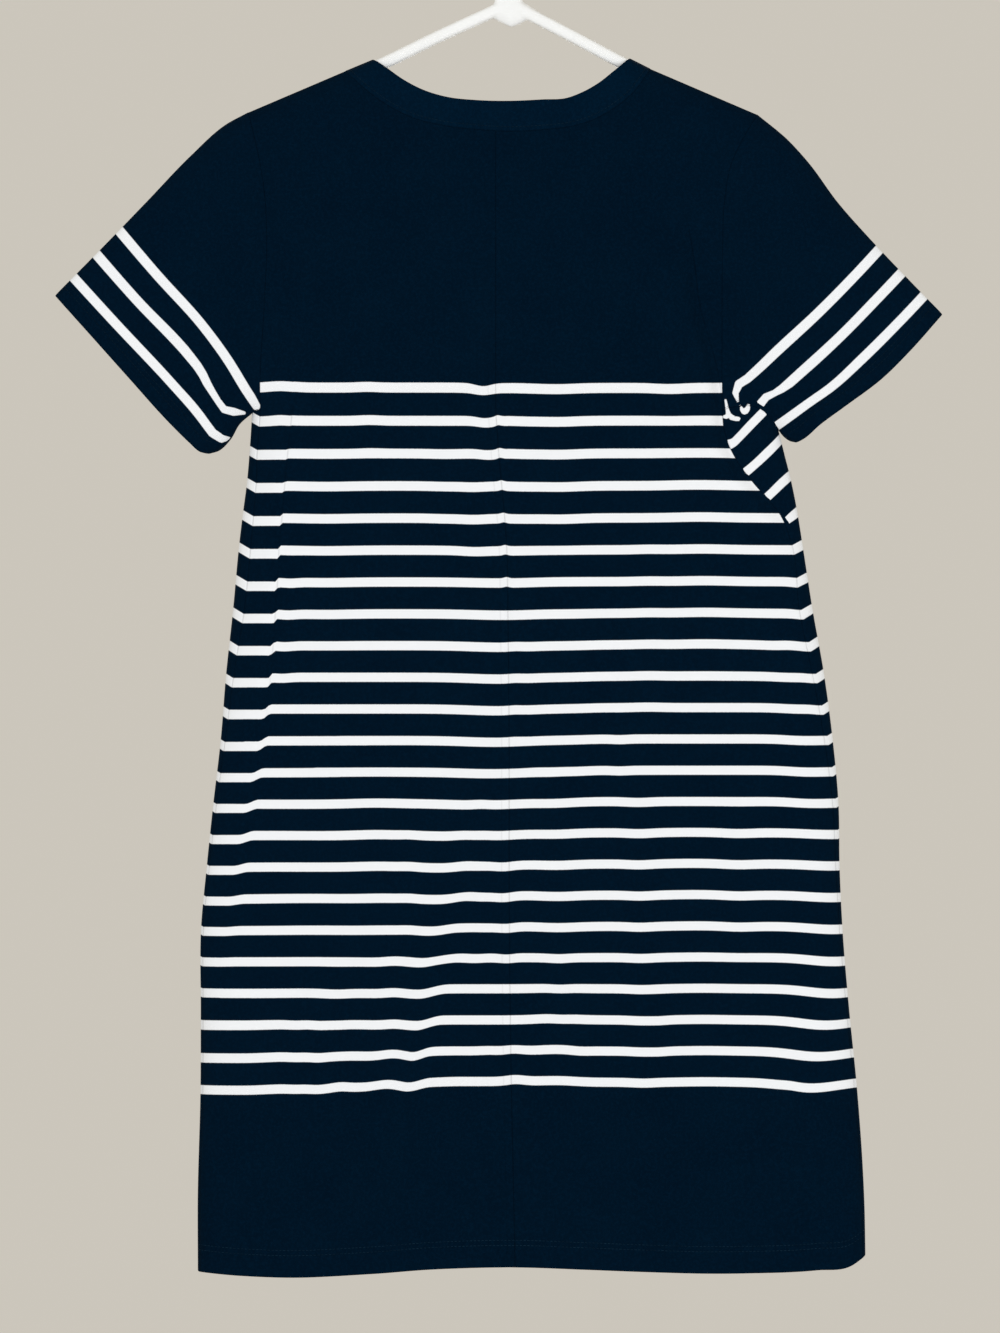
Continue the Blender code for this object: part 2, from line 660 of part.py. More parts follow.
def make_hanger(material, collection, cutters):
    left, right = arm_route("left"), arm_route("right")
    loop = left + right[::-1][:-1]
    frame = tube("hanger", loop, [TUBE_RADIUS] * len(loop), True, collection)
    route = hook_route()
    first, steps = NECK_TAPER
    wide = [NECK_BASE_RADIUS + (TUBE_RADIUS - NECK_BASE_RADIUS) * smoothstep((step - first) / steps)
            for step in range(len(route))]
    hook = tube("hook_form", route, wide, False, cutters)
    boss_mesh = bmesh.new()
    bmesh.ops.create_uvsphere(boss_mesh, u_segments=16, v_segments=10, radius=MM)
    bmesh.ops.scale(boss_mesh, vec=BOSS_RADII, verts=boss_mesh.verts[:])
    bmesh.ops.translate(boss_mesh, verts=boss_mesh.verts[:],
                        vec=(BOSS_CENTRE[0] * MM, 0, (NECK_POINT_Z - BOSS_CENTRE[1]) * MM))
    boss = place_mesh("boss_form", boss_mesh, material, cutters)
    for form in (hook, boss):
        form.hide_render = True
        form.display_type = "WIRE"
        union = frame.modifiers.new("join_" + form.name, "BOOLEAN")
        union.operation = "UNION"
        union.object = form
    frame.data.materials.append(material)
    frame.data.shade_smooth()
    return frame


# ---- Scene ----

def make_material(piece, finish):
    colour, roughness = FINISHES[finish]
    material = bpy.data.materials.new(piece + "_" + finish)
    material.use_nodes = True
    shader = material.node_tree.nodes["Principled BSDF"]
    shader.inputs["Base Color"].default_value = colour
    shader.inputs["Roughness"].default_value = roughness
    shader.inputs["Metallic"].default_value = 0.0
    return material


def make_collection(name):
    collection = bpy.data.collections.new(name)
    bpy.context.scene.collection.children.link(collection)
    return collection


def main():
    for piece in list(bpy.data.objects):
        bpy.data.objects.remove(piece, do_unlink=True)
    parts = make_collection("t_shirt_dress_on_hanger")
    cutters = make_collection("hanger_forms")
    for side in NECK_POINT:
        make_back(side, make_material("back_" + side, "jersey"), parts)
        make_sleeve(side, make_material("sleeve_" + side, "jersey"), parts)
    make_front(make_material("front", "jersey"), parts)
    make_neckband(make_material("neckband", "rib"), parts)
    make_hanger(make_material("hanger", "plastic"), parts, cutters)


main()
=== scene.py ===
import math

import bpy
import numpy as np
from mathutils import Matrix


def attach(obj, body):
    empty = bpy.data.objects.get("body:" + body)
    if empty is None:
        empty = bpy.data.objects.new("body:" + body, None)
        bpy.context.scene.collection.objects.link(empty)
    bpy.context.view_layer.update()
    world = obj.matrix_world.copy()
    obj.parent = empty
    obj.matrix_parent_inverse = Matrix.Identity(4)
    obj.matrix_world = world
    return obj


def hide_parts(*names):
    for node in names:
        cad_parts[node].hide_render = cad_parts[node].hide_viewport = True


# A t-shirt dress in navy jersey with white stripes, on a white tubular hanger. Sizes on the cloth
# are in millimetres, as (x, drop): x from the hook's axis, drop below the neck point. The back of
# the dress faces -Y and +X is the wearer's right.

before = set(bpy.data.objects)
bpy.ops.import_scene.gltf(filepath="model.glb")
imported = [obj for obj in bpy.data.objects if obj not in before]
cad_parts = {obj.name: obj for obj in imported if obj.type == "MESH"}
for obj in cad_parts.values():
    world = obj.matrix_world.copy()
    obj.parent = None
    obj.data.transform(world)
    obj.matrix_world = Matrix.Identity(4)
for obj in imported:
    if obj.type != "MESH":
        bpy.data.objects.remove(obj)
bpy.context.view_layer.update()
mm = 0.001
neckPointZ = -103.7            # height of the neck point
sides = ("left", "right")
sheets = (("back", -1), ("front", 1))    # each with its side of the middle plane

print("frame loaded:", len(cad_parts), "nodes")


def smoothly(value):
    value = np.clip(value, 0, 1)
    return value * value * (3 - 2 * value)


def fading(value, start, span):
    # 0 up to the start and 1 beyond the span; a span below 0 leads the other way
    return smoothly((value - start) / span)


def hill(gap, width):
    return np.exp(-(gap / width) ** 2)


def unit(vectors):
    length = np.linalg.norm(vectors, axis=-1, keepdims=True)
    return vectors / np.maximum(length, 1e-9)


def paired(x, drop):
    return np.stack([x, drop], axis=-1)


def inSpace(x, drop):
    return (x * mm, 0, (neckPointZ - drop) * mm)


def throughTable(keys, values):
    # a smooth line through a table's rows
    keys = np.asarray(keys, float)
    values = np.asarray(values, float)
    slopes = np.gradient(values, keys, axis=0)

    def value(key):
        key = np.clip(np.asarray(key, float), keys[0], keys[-1])
        row = np.clip(np.searchsorted(keys, key, side="right") - 1, 0, len(keys) - 2)
        span = keys[row + 1] - keys[row]
        t = (key - keys[row]) / span
        if values.ndim > 1:
            span, t = span[..., None], t[..., None]
        return ((2 * t**3 - 3 * t**2 + 1) * values[row]
                + (t**3 - 2 * t**2 + t) * span * slopes[row]
                + (3 * t**2 - 2 * t**3) * values[row + 1]
                + (t**3 - t**2) * span * slopes[row + 1])

    return value


def curve(*points):
    # the same through points, from 0 at the first to 1 at the last
    points = np.asarray(points, float)
    steps = np.hypot(*(points[1:] - points[:-1])[:, :2].T)
    lengths = np.concatenate(([0.0], np.cumsum(steps)))
    return throughTable(lengths / lengths[-1], points)


def joined(first, second, share):
    # two lines as one, the first up to this share
    def value(t):
        t = np.asarray(t, float)
        early = first(t / share)
        late = second((t - share) / (1 - share))
        return np.where((t <= share)[..., None], early, late)

    return value


def sampled(line, count=40):
    return line(np.linspace(0, 1, count + 1))


body = {
    "rows": (                  # drop, left edge, left seam, centre seam, right seam, right edge
        (266, -192.3, -186.0, -7.8, 163.8, 202.0),
        (279, -193.1, -186.9, -6.9, 164.6, 204.6),
        (300, -194.5, -188.5, -5.4, 172.0, 209.9),
        (320, -196.2, -189.0, -3.6, 186.0, 215.2),
        (345, -199.4, -191.0, -1.2, 207.2, 220.6),
        (368, -202.1, -193.0, 0.4, 216.4, 224.6),
        (417, -206.7, -198.0, 1.4, 222.0, 232.3),
        (466, -212.0, -206.0, 2.0, 232.0, 241.0),
        (515, -216.0, -212.5, 2.4, 241.0, 247.5),
        (565, -221.8, -219.4, 2.4, 247.5, 252.0),
        (612, -226.7, -224.8, 2.4, 249.8, 252.8),
        (659, -231.0, -229.2, 2.6, 252.8, 255.0),
        (720, -231.2, -229.5, 3.2, 258.0, 260.0),
        (780, -231.4, -229.7, 4.1, 264.0, 266.0),
        (865, -233.5, -231.8, 5.9, 269.5, 271.5),
        (918, -233.4, -231.7, 7.0, 270.5, 272.5),
    ),
    "hem": ((-233.4, 918), (-202, 920.5), (-160, 922), (-100, 919), (-58, 916), (5, 914.2),
            (60, 916), (110, 918), (180, 918.8), (235, 916.5), (262, 913), (272.5, 906)),
    "turnUp": 21.5,            # height of the turned-up hem
    "shoulderShare": 0.42,     # of a half panel's width
    "hold": 12,                # how soon the hem's bends fade in the rows above it
    "underarmBlend": 6,        # the sides lead to the underarm over their last sixth
}


def bodyColumn(place):
    rows = body["rows"]
    return throughTable([row[0] for row in rows], [row[place] for row in rows])


bodyLine = {name: bodyColumn(place) for place, name in enumerate(
    ("leftEdge", "leftSeam", "centreSeam", "rightSeam", "rightEdge"), 1)}
hemDrop = throughTable(*zip(*body["hem"]))

shape = {
    "neckPoint": {"left": (-100.7, 0.4), "right": (93.9, -0.4)},
    "bandCorner": {"left": (-121.9, 9.2), "right": (109.8, 7.6)},
    "shoulderEnd": {"left": (-195.3, 40.5), "right": (190.5, 42.2)},
    "underarm": {"left": (-186.0, 266.0), "right": (163.8, 266.0)},
    "underarmEdge": {"left": (-192.3, 268.6), "right": (206.5, 281.5)},
    "cuffTop": {"left": (-341.4, 179.0), "right": (330.5, 193.2)},
    "cuffBottom": {"left": (-225.0, 299.3), "right": (220.0, 290.7)},
    "sleeveTop": {
        "left": ((-212, 49.6), (-238.5, 73.1), (-271.8, 107.8), (-300, 137)),
        "right": ((213.9, 61.7), (229.4, 78.8), (251.3, 108.6), (275.5, 136.0), (303, 165)),
    },
    "cuff": {
        "left": ((-314, 209.5), (-286.5, 240.3), (-252.8, 277.5), (-238.5, 291.5), (-232, 297.2)),
        "right": ((304.3, 222.6), (285.2, 241.5), (256, 263.5), (237, 277.5), (225.5, 287.5)),
    },
    "sleeveUnder": {"left": ((-217.5, 297.0), (-208.5, 288.4), (-201.5, 276.7)),
                    "right": ((215.2, 289.6), (210.4, 286.3))},
    "armholeBack": {
        "left": ((-191, 57), (-186, 80), (-182.2, 107), (-181, 140), (-183, 190), (-186, 243)),
        "right": ((181, 58), (170.5, 80), (165.5, 107), (163.8, 150), (163.5, 200), (163.5, 245)),
    },
    "armholeFront": {
        "left": ((-185, 66), (-176, 105), (-172, 155), (-175, 208), (-183, 248)),
        "right": ((181, 70), (172, 110), (169, 160), (174, 212), (190, 254)),
    },
    "wrapTop": {"left": ((-189.4, 266.6),),
                "right": ((172, 263.8), (180, 262.8), (188, 263.6), (195.2, 267.2),
                          (201.8, 274.8))},
    "gusset": {"left": ((-197, 266.5), (-211, 278.5)), "right": ((181, 252.5), (208, 259.5))},
    "gussetCuffShare": 0.88,   # where the gusset meets the cuff, along it
    "cuffTurnUp": 17.0,
}


def sideCurves(start, way, end, step=1):
    # one line on each side of the dress, between two of its corners
    return {side: curve(shape[start][side], *shape[way][side][::step], shape[end][side])
            for side in sides}


shoulder = {side: curve(shape["shoulderEnd"][side], shape["bandCorner"][side]) for side in sides}
sleeveTop = sideCurves("shoulderEnd", "sleeveTop", "cuffTop")
cuffLine = sideCurves("cuffTop", "cuff", "cuffBottom")
sleeveUnder = sideCurves("underarmEdge", "sleeveUnder", "cuffBottom", -1)
armholeBack = sideCurves("underarm", "armholeBack", "shoulderEnd", -1)
armholeFront = sideCurves("underarmEdge", "armholeFront", "shoulderEnd", -1)
wrapTop = sideCurves("underarm", "wrapTop", "underarmEdge")

band = {                       # the neckband
    "wale": 1.6,               # width of one rib
    "light": 1.22,             # how much lighter it is than the body
    "turned": 16,              # width of the inner layer
    "edge": {
        "back": ((-91.6, 6.8), (-77.7, 16.7), (-62.6, 24.5), (-44.9, 29.8), (-22.2, 32.3),
                 (3, 32.9), (28.2, 31.8), (45.5, 30.8), (58, 26.2), (69.9, 19.5), (81.2, 10.6)),
        "front": ((-91, 20), (-76.4, 46), (-52, 75.7), (-27.7, 91), (-3.4, 95), (21, 91),
                  (45.3, 75.7), (69.6, 46), (84.2, 20)),
    },
    "seam": {
        "back": ((-105.5, 24.5), (-89, 36.2), (-70.5, 45.4), (-49.5, 50.8), (-22, 54.2),
                 (5, 55.5), (29, 54.2), (50, 51.7), (67, 46.4), (82, 38), (96, 26.5)),
        "front": ((-110.3, 32.5), (-92.9, 62.5), (-64, 96.4), (-35, 113), (-6, 117), (23, 113),
                  (52, 96.4), (81, 62.5), (98.3, 32.5)),
    },
}


def neckCurves(name, ends):
    # from the left side to the right one, on the back and on the front
    return {kind: curve(shape[ends]["left"], *line, shape[ends]["right"])
            for kind, line in band[name].items()}


neckEdge = neckCurves("edge", "neckPoint")
neckSeam = neckCurves("seam", "bandCorner")


def sideLine(name, top):
    # a side or the centre line, from the hem at 0 to its top at 1
    column = bodyLine[name]
    foot = float(hemDrop(column(body["rows"][-1][0])))
    start = float(column(top[1]))

    def value(t):
        t = np.asarray(t, float)
        drop = foot + (top[1] - foot) * t
        blend = smoothly(1 - body["underarmBlend"] * (1 - t))
        return paired(column(drop) + (top[0] - start) * blend, drop)

    return value


def centreTop():
    drop = body["rows"][0][0]
    return (float(bodyLine["centreSeam"](drop)), drop)


def hemBetween(left, right):
    start, end = left(0)[0], right(0)[0]

    def value(u):
        x = start + (end - start) * np.asarray(u, float)
        return paired(x, hemDrop(x))

    return value


def patchBetween(left, right, bottom, top, columns, rows, hold=1):
    # a grid of points that fills four lines
    u = np.asarray(columns, float)[None, :, None]
    v = np.asarray(rows, float)[:, None, None]
    foot = bottom(columns)[None] - (1 - u) * bottom(0) - u * bottom(1)
    head = top(columns)[None] - (1 - u) * top(0) - u * top(1)
    return ((1 - u) * left(rows)[:, None] + u * right(rows)[:, None]
            + (1 - v) ** hold * foot + v**hold * head)


class Line:                    # a line on the cloth, which tells how far points are from it
    def __init__(self, points, inside=1):
        self.points = np.asarray(points, float)
        flat = self.points[:, :2]
        self.starts = flat[:-1]
        self.spans = flat[1:] - flat[:-1]
        self.squares = (self.spans**2).sum(axis=1)
        self.sides = paired(-self.spans[:, 1], self.spans[:, 0])
        self.sides *= inside / np.sqrt(self.squares)[:, None]
        self.corners = np.vstack([self.sides[:1], self.sides[:-1] + self.sides[1:],
                                  self.sides[-1:]])

    def near(self, points):    # distance, above 0 on the inside, and the place along the line
        flat = points.reshape(-1, 2)
        reach = flat[:, None] - self.starts
        along = np.clip((reach * self.spans).sum(axis=2) / self.squares, 0, 1)
        gaps = reach - self.spans * along[..., None]
        squares = (gaps**2).sum(axis=2)
        step = squares.argmin(axis=1)
        rows = np.arange(len(flat))
        share = along[rows, step]
        atCorner = ((share == 0) | (share == 1))[:, None]
        side = np.where(atCorner, self.corners[step + (share == 1)], self.sides[step])
        gap = np.copysign(np.sqrt(squares[rows, step]), (gaps[rows, step] * side).sum(axis=1))
        return gap.reshape(points.shape[:-1]), (step + share).reshape(points.shape[:-1])

    def read(self, place, column):
        return np.interp(place, np.arange(len(self.points)), self.points[:, column])

    def values(self, points):    # the distance, and what the line's further columns say there
        gap, place = self.near(points)
        return [gap] + [self.read(place, column) for column in range(2, self.points.shape[1])]


cloth = {
    "wall": 0.7,               # thickness of the jersey
    "chestHalfDepth": 13.0,    # from the middle plane to the cloth
    "hemHalfDepth": 15.5,
    "cuffHalfDepth": 8.0,
    "shoulderRounding": 28.0,  # how far from its edge the cloth begins to turn
    "sideRounding": 36.0,
    "sleeveFlattening": 110.0,    # over what width a sleeve grows flatter
    "sleeveLevel": (270.0, 60.0),    # down to what drop, and over what height that fades
    "seamDip": 0.2,            # how deep the cloth dips where two panels are sewn
    "allowance": 1.8,          # how far the sewn edge goes inside
    "layerGap": 0.1,           # air between the two layers of a hem
    "foldOut": 0.6,            # how far a hem's fold goes down, in walls
    "foldIn": 0.15,            # how far the edge of a hem is drawn in
}


def edgeLines():
    # where the dress ends in a turned edge, and how far from it the cloth rounds
    lines = []
    for side, inside in (("left", -1), ("right", 1)):
        ridge = [np.array([shape["neckPoint"][side], shape["bandCorner"][side]]),
                 sampled(shoulder[side], 8)[-2::-1], sampled(sleeveTop[side])[1:]]
        lines.append((Line(np.vstack(ridge), inside), cloth["shoulderRounding"]))
        flank = sideLine(side + "Edge", shape["underarmEdge"][side])
        under = [sampled(sleeveUnder[side], 16)[::-1], sampled(flank)[-2::-1]]
        lines.append((Line(np.vstack(under), inside), cloth["sideRounding"]))
    return lines


edges = edgeLines()

folds = {                      # height above or below the plain form, width, line
    "back": (
        (-1.6, 10, (-184, 92), (-181, 125)),
        (1.4, 16, (-164, 275), (-168, 340), (-178, 420), (-188, 516)),
        (-2.2, 22, (-133, 690), (-134, 780), (-138, 915)),
        (2.4, 22, (-92, 640), (-92, 780), (-96, 915)),
        (-1.6, 20, (-52, 690), (-56, 800), (-60, 915)),
        (1.8, 26, (140, 660), (142, 780), (150, 915)),
        (-1.8, 24, (100, 620), (102, 780), (104, 915)),
        # finer ones
        (-0.5, 5, (-164, 262), (-165, 320), (-173, 400), (-183, 490), (-193, 565)),
        (0.4, 6, (-172, 300), (-181, 400), (-190, 480)),
        (-0.7, 7, (-20, 236), (-17, 262), (-13, 300)),
        (0.5, 6, (-2, 300), (3, 360), (5, 420)),
        (-0.7, 6, (-184, 88), (-183, 100), (-181, 124)),
        (0.8, 12, (26, 655), (27, 700), (30, 760)),
        (-0.6, 10, (44, 240), (44, 300), (40, 380)),
        (-0.9, 8, (-85, 818), (-80, 838), (-66, 850), (-50, 858), (-36, 864)),
        (0.7, 9, (-70, 812), (-64, 832), (-50, 844), (-30, 852)),
        (0.5, 3.0, (1.5, 893), (2.2, 911)),    # the seam's edges inside the turned-up hem
        (0.35, 10, (24, 655), (26, 700), (24, 740)),
    ),
    "front": (
        (2.0, 26, (120, 300), (140, 600), (160, 915)),
        (-2.2, 26, (60, 480), (70, 700), (76, 915)),
        (2.2, 24, (-70, 560), (-80, 740), (-90, 915)),
        (-1.8, 24, (-130, 380), (-142, 640), (-150, 915)),
        (0.8, 9, (-60, 150), (-90, 210), (-130, 250)),
        (0.7, 10, (50, 150), (84, 205), (120, 250)),
        (-0.7, 10, (6, 330), (10, 480), (16, 640)),
    ),
}

foldLines = {kind: [(height, width, Line(sampled(curve(*line), 8)))
                    for height, width, *line in rows] for kind, rows in folds.items()}

lapFold = {                    # the deep fold beside the right underarm
    "line": (                  # x, drop, share of its step, how dark the painted shade along it is
        (133.5, 104, 0.0, 0.0), (135.5, 115.5, 0.2, 0.10), (139.9, 137.4, 0.6, 0.36),
        (143.1, 158.6, 0.8, 0.42), (146.9, 187.9, 1.0, 0.36), (151.9, 206.8, 1.0, 0.24),
        (156.9, 223.2, 1.0, 0.30), (160.7, 239.6, 1.0, 0.30), (163.8, 262, 1.0, 0.12),
        (165.0, 280, 1.0, 0.05), (172.0, 300, 1.0, 0.03), (186.0, 320, 0.9, 0.02),
        (208.0, 345, 0.5, 0.0), (217.5, 368, 0.0, 0.0)),
    "drop": 4.2,               # depth of the step
    "roll": 6.0,               # width in which the cloth rolls into it
    "recovery": 24.0,          # and in which it rises again beyond it
    "ridge": (1.6, 14.0, 9.0),    # height, place and width of the swell beside it
}

lapLine = Line(sampled(curve(*lapFold["line"]), 40))


def lap(points):
    gap, share, _ = lapLine.values(points)
    height, back, width = lapFold["ridge"]
    foot = hill(gap, lapFold["roll"])
    rise = hill(gap - back, width) - math.exp(-(back / width) ** 2) * foot
    beyond = -lapFold["drop"] * hill(gap, lapFold["recovery"])
    return share * np.where(gap < 0, beyond, height * rise - lapFold["drop"] * foot)


def relief(points, sheet):
    total = lap(points) if sheet == "back" else 0.0
    for height, width, line in foldLines[sheet]:
        total = total + height * hill(line.near(points)[0], width)
    return total


def depthSquared(points, sheet):
    # of the cloth from the middle plane; below 0 outside the outline
    x, drop = points[..., 0], points[..., 1]
    top, bottom = body["rows"][0][0], body["rows"][-1][0]
    chest, hem = cloth["chestHalfDepth"], cloth["hemHalfDepth"]
    depth = chest + (hem - chest) * smoothly((drop - top) / (bottom - top))
    level, fade = cloth["sleeveLevel"]
    flat = (smoothly((abs(x) + shape["shoulderEnd"]["left"][0]) / cloth["sleeveFlattening"])
            * smoothly(1 - (drop - level) / fade))
    depth = depth + (cloth["cuffHalfDepth"] - depth) * flat + relief(points, sheet)
    square = depth * depth
    for line, rounding in edges:
        near = np.minimum(line.near(points)[0] / rounding, 1.0)
        square = square * near * (2 - near)
    return square


def formed(points, sheet, front):
    # the points in space, and the direction straight out of the cloth at each
    step = 0.05
    half = np.sqrt(np.maximum(depthSquared(points, sheet), 0)) * front
    slopes = [(depthSquared(points + way, sheet) - depthSquared(points - way, sheet)) / (4 * step)
              for way in (np.array([step, 0]), np.array([0, step]))]
    places = np.stack([points[..., 0], half, neckPointZ - points[..., 1]], axis=-1)
    normals = np.stack([-slopes[0], half, slopes[1]], axis=-1)
    return places, unit(normals)


# The hanging cloth carries its stripes a little up or down.
# Rows of x, drop, how much lower they lie on the left of it, and over what width that begins:
leftCrease = Line(((-161, 262, 0.2, 1.5), (-165, 299, 0.8, 1.5), (-167.3, 323, 1.3, 1.5),
                   (-169.3, 347, 2.0, 1.5), (-171.6, 371, 2.6, 1.6), (-172.6, 395, 3.1, 1.8),
                   (-176, 444, 3.7, 2.5), (-178, 468, 4.0, 3.5),
                   (-183, 515, 3.9, 7), (-192, 562, 3.5, 10), (-200, 611, 2.4, 12),
                   (-207, 660, 0.8, 14), (-212, 700, 0.0, 14)))
# Rows of x, drop, lower on the whole left of it, lower along it, and width to the right:
drift = Line(((0, 330, 0.1, 0.2, 40), (-2, 400, 0.3, 0.8, 45), (-2, 443, 0.6, 1.3, 50),
              (-4, 491, 0.9, 1.5, 55), (-10, 538, 1.3, 1.3, 60), (-24, 585, 1.6, 1.2, 60),
              (-48, 633, 2.3, 1.0, 50), (-58, 657, 2.8, 0.9, 36), (-66, 685, 3.2, 0.9, 26),
              (-67, 727, 3.3, 0.9, 19), (-72, 751, 2.9, 2.4, 15), (-81, 800, 3.8, 0.0, 25)))
# Soft bumps on the back: how much lower, width, and line.
bumps = [(amount, width, Line(line)) for amount, width, *line in (
    (2.3, 8, (-18, 236), (-17, 250)),
    (1.7, 8, (-16, 273), (-15, 276)),
    (1.1, 8, (-14, 298), (-13, 301)),
    (0.8, 12, (-24, 325), (-24, 372)),
    (-0.9, 2.6, (-6.5, 268), (-4.5, 300), (-2.8, 330), (-0.5, 372), (0.6, 400)),
    (0.5, 24, (-136, 318), (-136, 420)),
    (0.9, 20, (37, 240), (39, 300), (41, 350)),
    (0.5, 20, (48, 430), (48, 540)),
    (0.9, 18, (36, 545), (38, 600), (40, 660)),
    (-1.3, 20, (38, 722), (38, 760), (38, 800)),
    (0.7, 12, (100, 560), (102, 680), (104, 780)),
    (-0.7, 26, (145, 320), (150, 400), (150, 440)),
    (-0.5, 24, (140, 600), (148, 700), (150, 780)),
    (0.6, 14, (176, 580), (176, 660)),
    (1.3, 9, (-3, 608), (-1, 650), (2, 680)),
    (-0.9, 11, (-31, 588), (-34, 640)),
    (-1.1, 10, (-84, 680), (-84, 740)),
    (-2.9, 12.8, (-84, 756), (-92, 790)),
    (1.1, 18, (-140, 760), (-142, 800)),
    (0.8, 8, (-142, 722), (-143, 780)),
    (-0.7, 7, (-125, 774), (-125, 790)),
    (0.8, 12, (-128, 700), (-130, 740)),
    (-1.3, 9, (6, 752), (8, 790)),
    (-1.2, 14, (-170, 238), (-171, 254)),
    (0.8, 14, (122, 236), (124, 256)),
    (0.4, 14, (-20, 249), (150, 249)),
    (0.9, 7, (221, 397), (223, 417), (232, 466), (240, 500)),
    (0.8, 8, (-163, 385), (-165, 420), (-170, 470)),
    (0.8, 16, (210, 440), (220, 500), (226, 560)),
    (-0.7, 22, (-100, 570), (-95, 610), (-85, 655)),
    (-0.8, 11, (-26, 606), (-8, 612)),
    (-0.7, 16, (-34, 770), (10, 772)),
    (-0.45, 32, (-205, 575), (-150, 640)),
    (-0.7, 8, (-27, 632), (-40, 657)),
    (0.7, 9, (-14, 657), (-24, 682)),
    (-0.6, 8, (-19, 562), (-16, 588)),
    (-0.5, 10, (26, 536), (41, 540)),
    (0.7, 9, (40, 683), (42, 727)),
    (0.7, 9, (-158, 727), (-159, 780)),
    (-0.55, 10, (-105, 248), (-102, 290)),
    (-0.6, 8, (-171, 262), (-170, 276)),
    (0.45, 16, (-46, 300), (-44, 350)),
    (0.35, 13, (14, 265), (14, 345)),
    (-0.5, 7, (7, 440), (7, 510)),
    (-0.4, 14, (108, 370), (108, 490)),
    (0.5, 8, (86, 505), (86, 540)),
    (-0.45, 8, (-73, 590), (-73, 680)),
    (-0.5, 7, (-14, 751), (-13, 753)),
    (-0.5, 7, (7, 680), (7, 682)),
    (0.5, 9, (56, 742), (56, 753)),
    (0.45, 8, (116, 715), (116, 755)),
    (-0.6, 8, (215, 775), (215, 790)),
    (-0.5, 8, (210, 436), (212, 446)),
)]
# Rows of x, drop, how much lower the stripes droop beside the right side seam, and width:
droop = Line(((240, 440, 0.5, 22), (243, 500, 0.9, 22), (246, 560, 1.2, 24), (248, 610, 1.6, 26),
              (248, 640, 2.0, 26), (249, 665, 2.6, 26), (249, 690, 3.3, 27), (248, 712, 3.8, 27),
              (243, 730, 4.0, 27), (238, 751, 4.1, 27), (231, 775, 4.3, 27), (228, 800, 4.3, 27)))
drape = {
    "swell": 34.0,             # width of the swell on the left of the drift
    "rightShare": 0.75,        # of the drift's width, on its right
    "lowLeft": 2.2,            # how much lower the stripes lie at the left foot,
    "lowLeftDrop": (690, 85),  # from which drop, and over what height that begins,
    "lowLeftX": (-140, -60),   # and from which x, and over what width to the left
    "droopFrom": (400, 60),
}

creases = {                    # painted shade along thin lines on the back: creases, the deep fold and sewn seams
    "left": ((262, 0.2), (400, 0.17), (470, 0.11), (520, 0.0)),   # drop, how dark the painted shade along the left crease is
    "allowance": 5.7,          # width of the seam's edges, pressed to the left inside
    "allowanceShade": 0.09,
    "allowanceFrom": (225, 20),    # drop, and over what height it begins
    "seamShade": 0.15,
    "lapFrom": 60,             # x from which the deep fold's line is the nearest
}
farOff = 50.0                  # distance that stands for no line at all
farOutside = -20.0             # the same for a stripe


def creaseShading(points, sheet):
    # distance from the nearest crease or fold line, above 0 between the lines, and how dark the
    # painted shade along it is there
    if sheet != "back":
        return np.full(points.shape[:-1], farOff), np.zeros(points.shape[:-1])
    x, drop = points[..., 0], points[..., 1]
    gap = -leftCrease.near(points)[0]
    shade = np.interp(drop, *zip(*creases["left"]))
    seamGap = bodyLine["centreSeam"](drop) - creases["allowance"] - x
    # painted shade along the edge of the pressed seam allowance
    pressed = fading(drop, *creases["allowanceFrom"]) * creases["allowanceShade"]
    shade = np.where(abs(seamGap) < abs(gap), pressed, shade)
    gap = np.minimum(gap, seamGap)
    lapGap, _, lapShade = lapLine.values(points)
    onRight = x > creases["lapFrom"]
    return np.where(onRight, lapGap, gap), np.where(onRight, lapShade, shade)


def stripeShift(points):
    # how much lower the stripes lie at each point
    x, drop = points[..., 0], points[..., 1]
    gap, lower, width = leftCrease.values(points)
    shift = lower * smoothly(0.5 + gap / width)
    gap, whole, along, width = drift.values(points)
    shift = shift + whole * smoothly(1 + gap / width)
    width = np.where(gap > 0, drape["swell"], drape["rightShare"] * width)
    shift = shift + along * hill(gap, width)
    for amount, width, line in bumps:
        shift = shift + amount * hill(line.near(points)[0], width)
    low = drape["lowLeft"] * fading(drop, *drape["lowLeftDrop"])
    shift = shift + low * fading(x, *drape["lowLeftX"])
    gap, lower, width = droop.values(points)
    return shift + fading(drop, *drape["droopFrom"]) * lower * hill(gap, width)


stripes = {
    "count": 23,
    "first": 249.3,            # drop of the highest stripe on the body
    "repeat": 23.55,
    "spread": (7.27, 4.2),     # the first repeats are longer by this in all, fading over so many
    "halfWidth": (3.38, 0.36, 4.0),    # the first ones are wider by this, fading over so many
}


def stripeDrop(index):
    amount, fade = stripes["spread"]
    return stripes["first"] + stripes["repeat"] * index + amount * (1 - np.exp(-index / fade))


def stripeEdge(points, shift):
    # how far inside a white stripe a point of the body is; below 0 it is navy
    index = np.linspace(-1, stripes["count"] + 1, 800)
    drop = points[..., 1] - shift
    nearest = np.round(np.interp(drop, stripeDrop(index), index))
    nearest = np.clip(nearest, 0, stripes["count"] - 1)
    half, more, fade = stripes["halfWidth"]
    return half + more * np.exp(-nearest / fade) - abs(drop - stripeDrop(nearest))


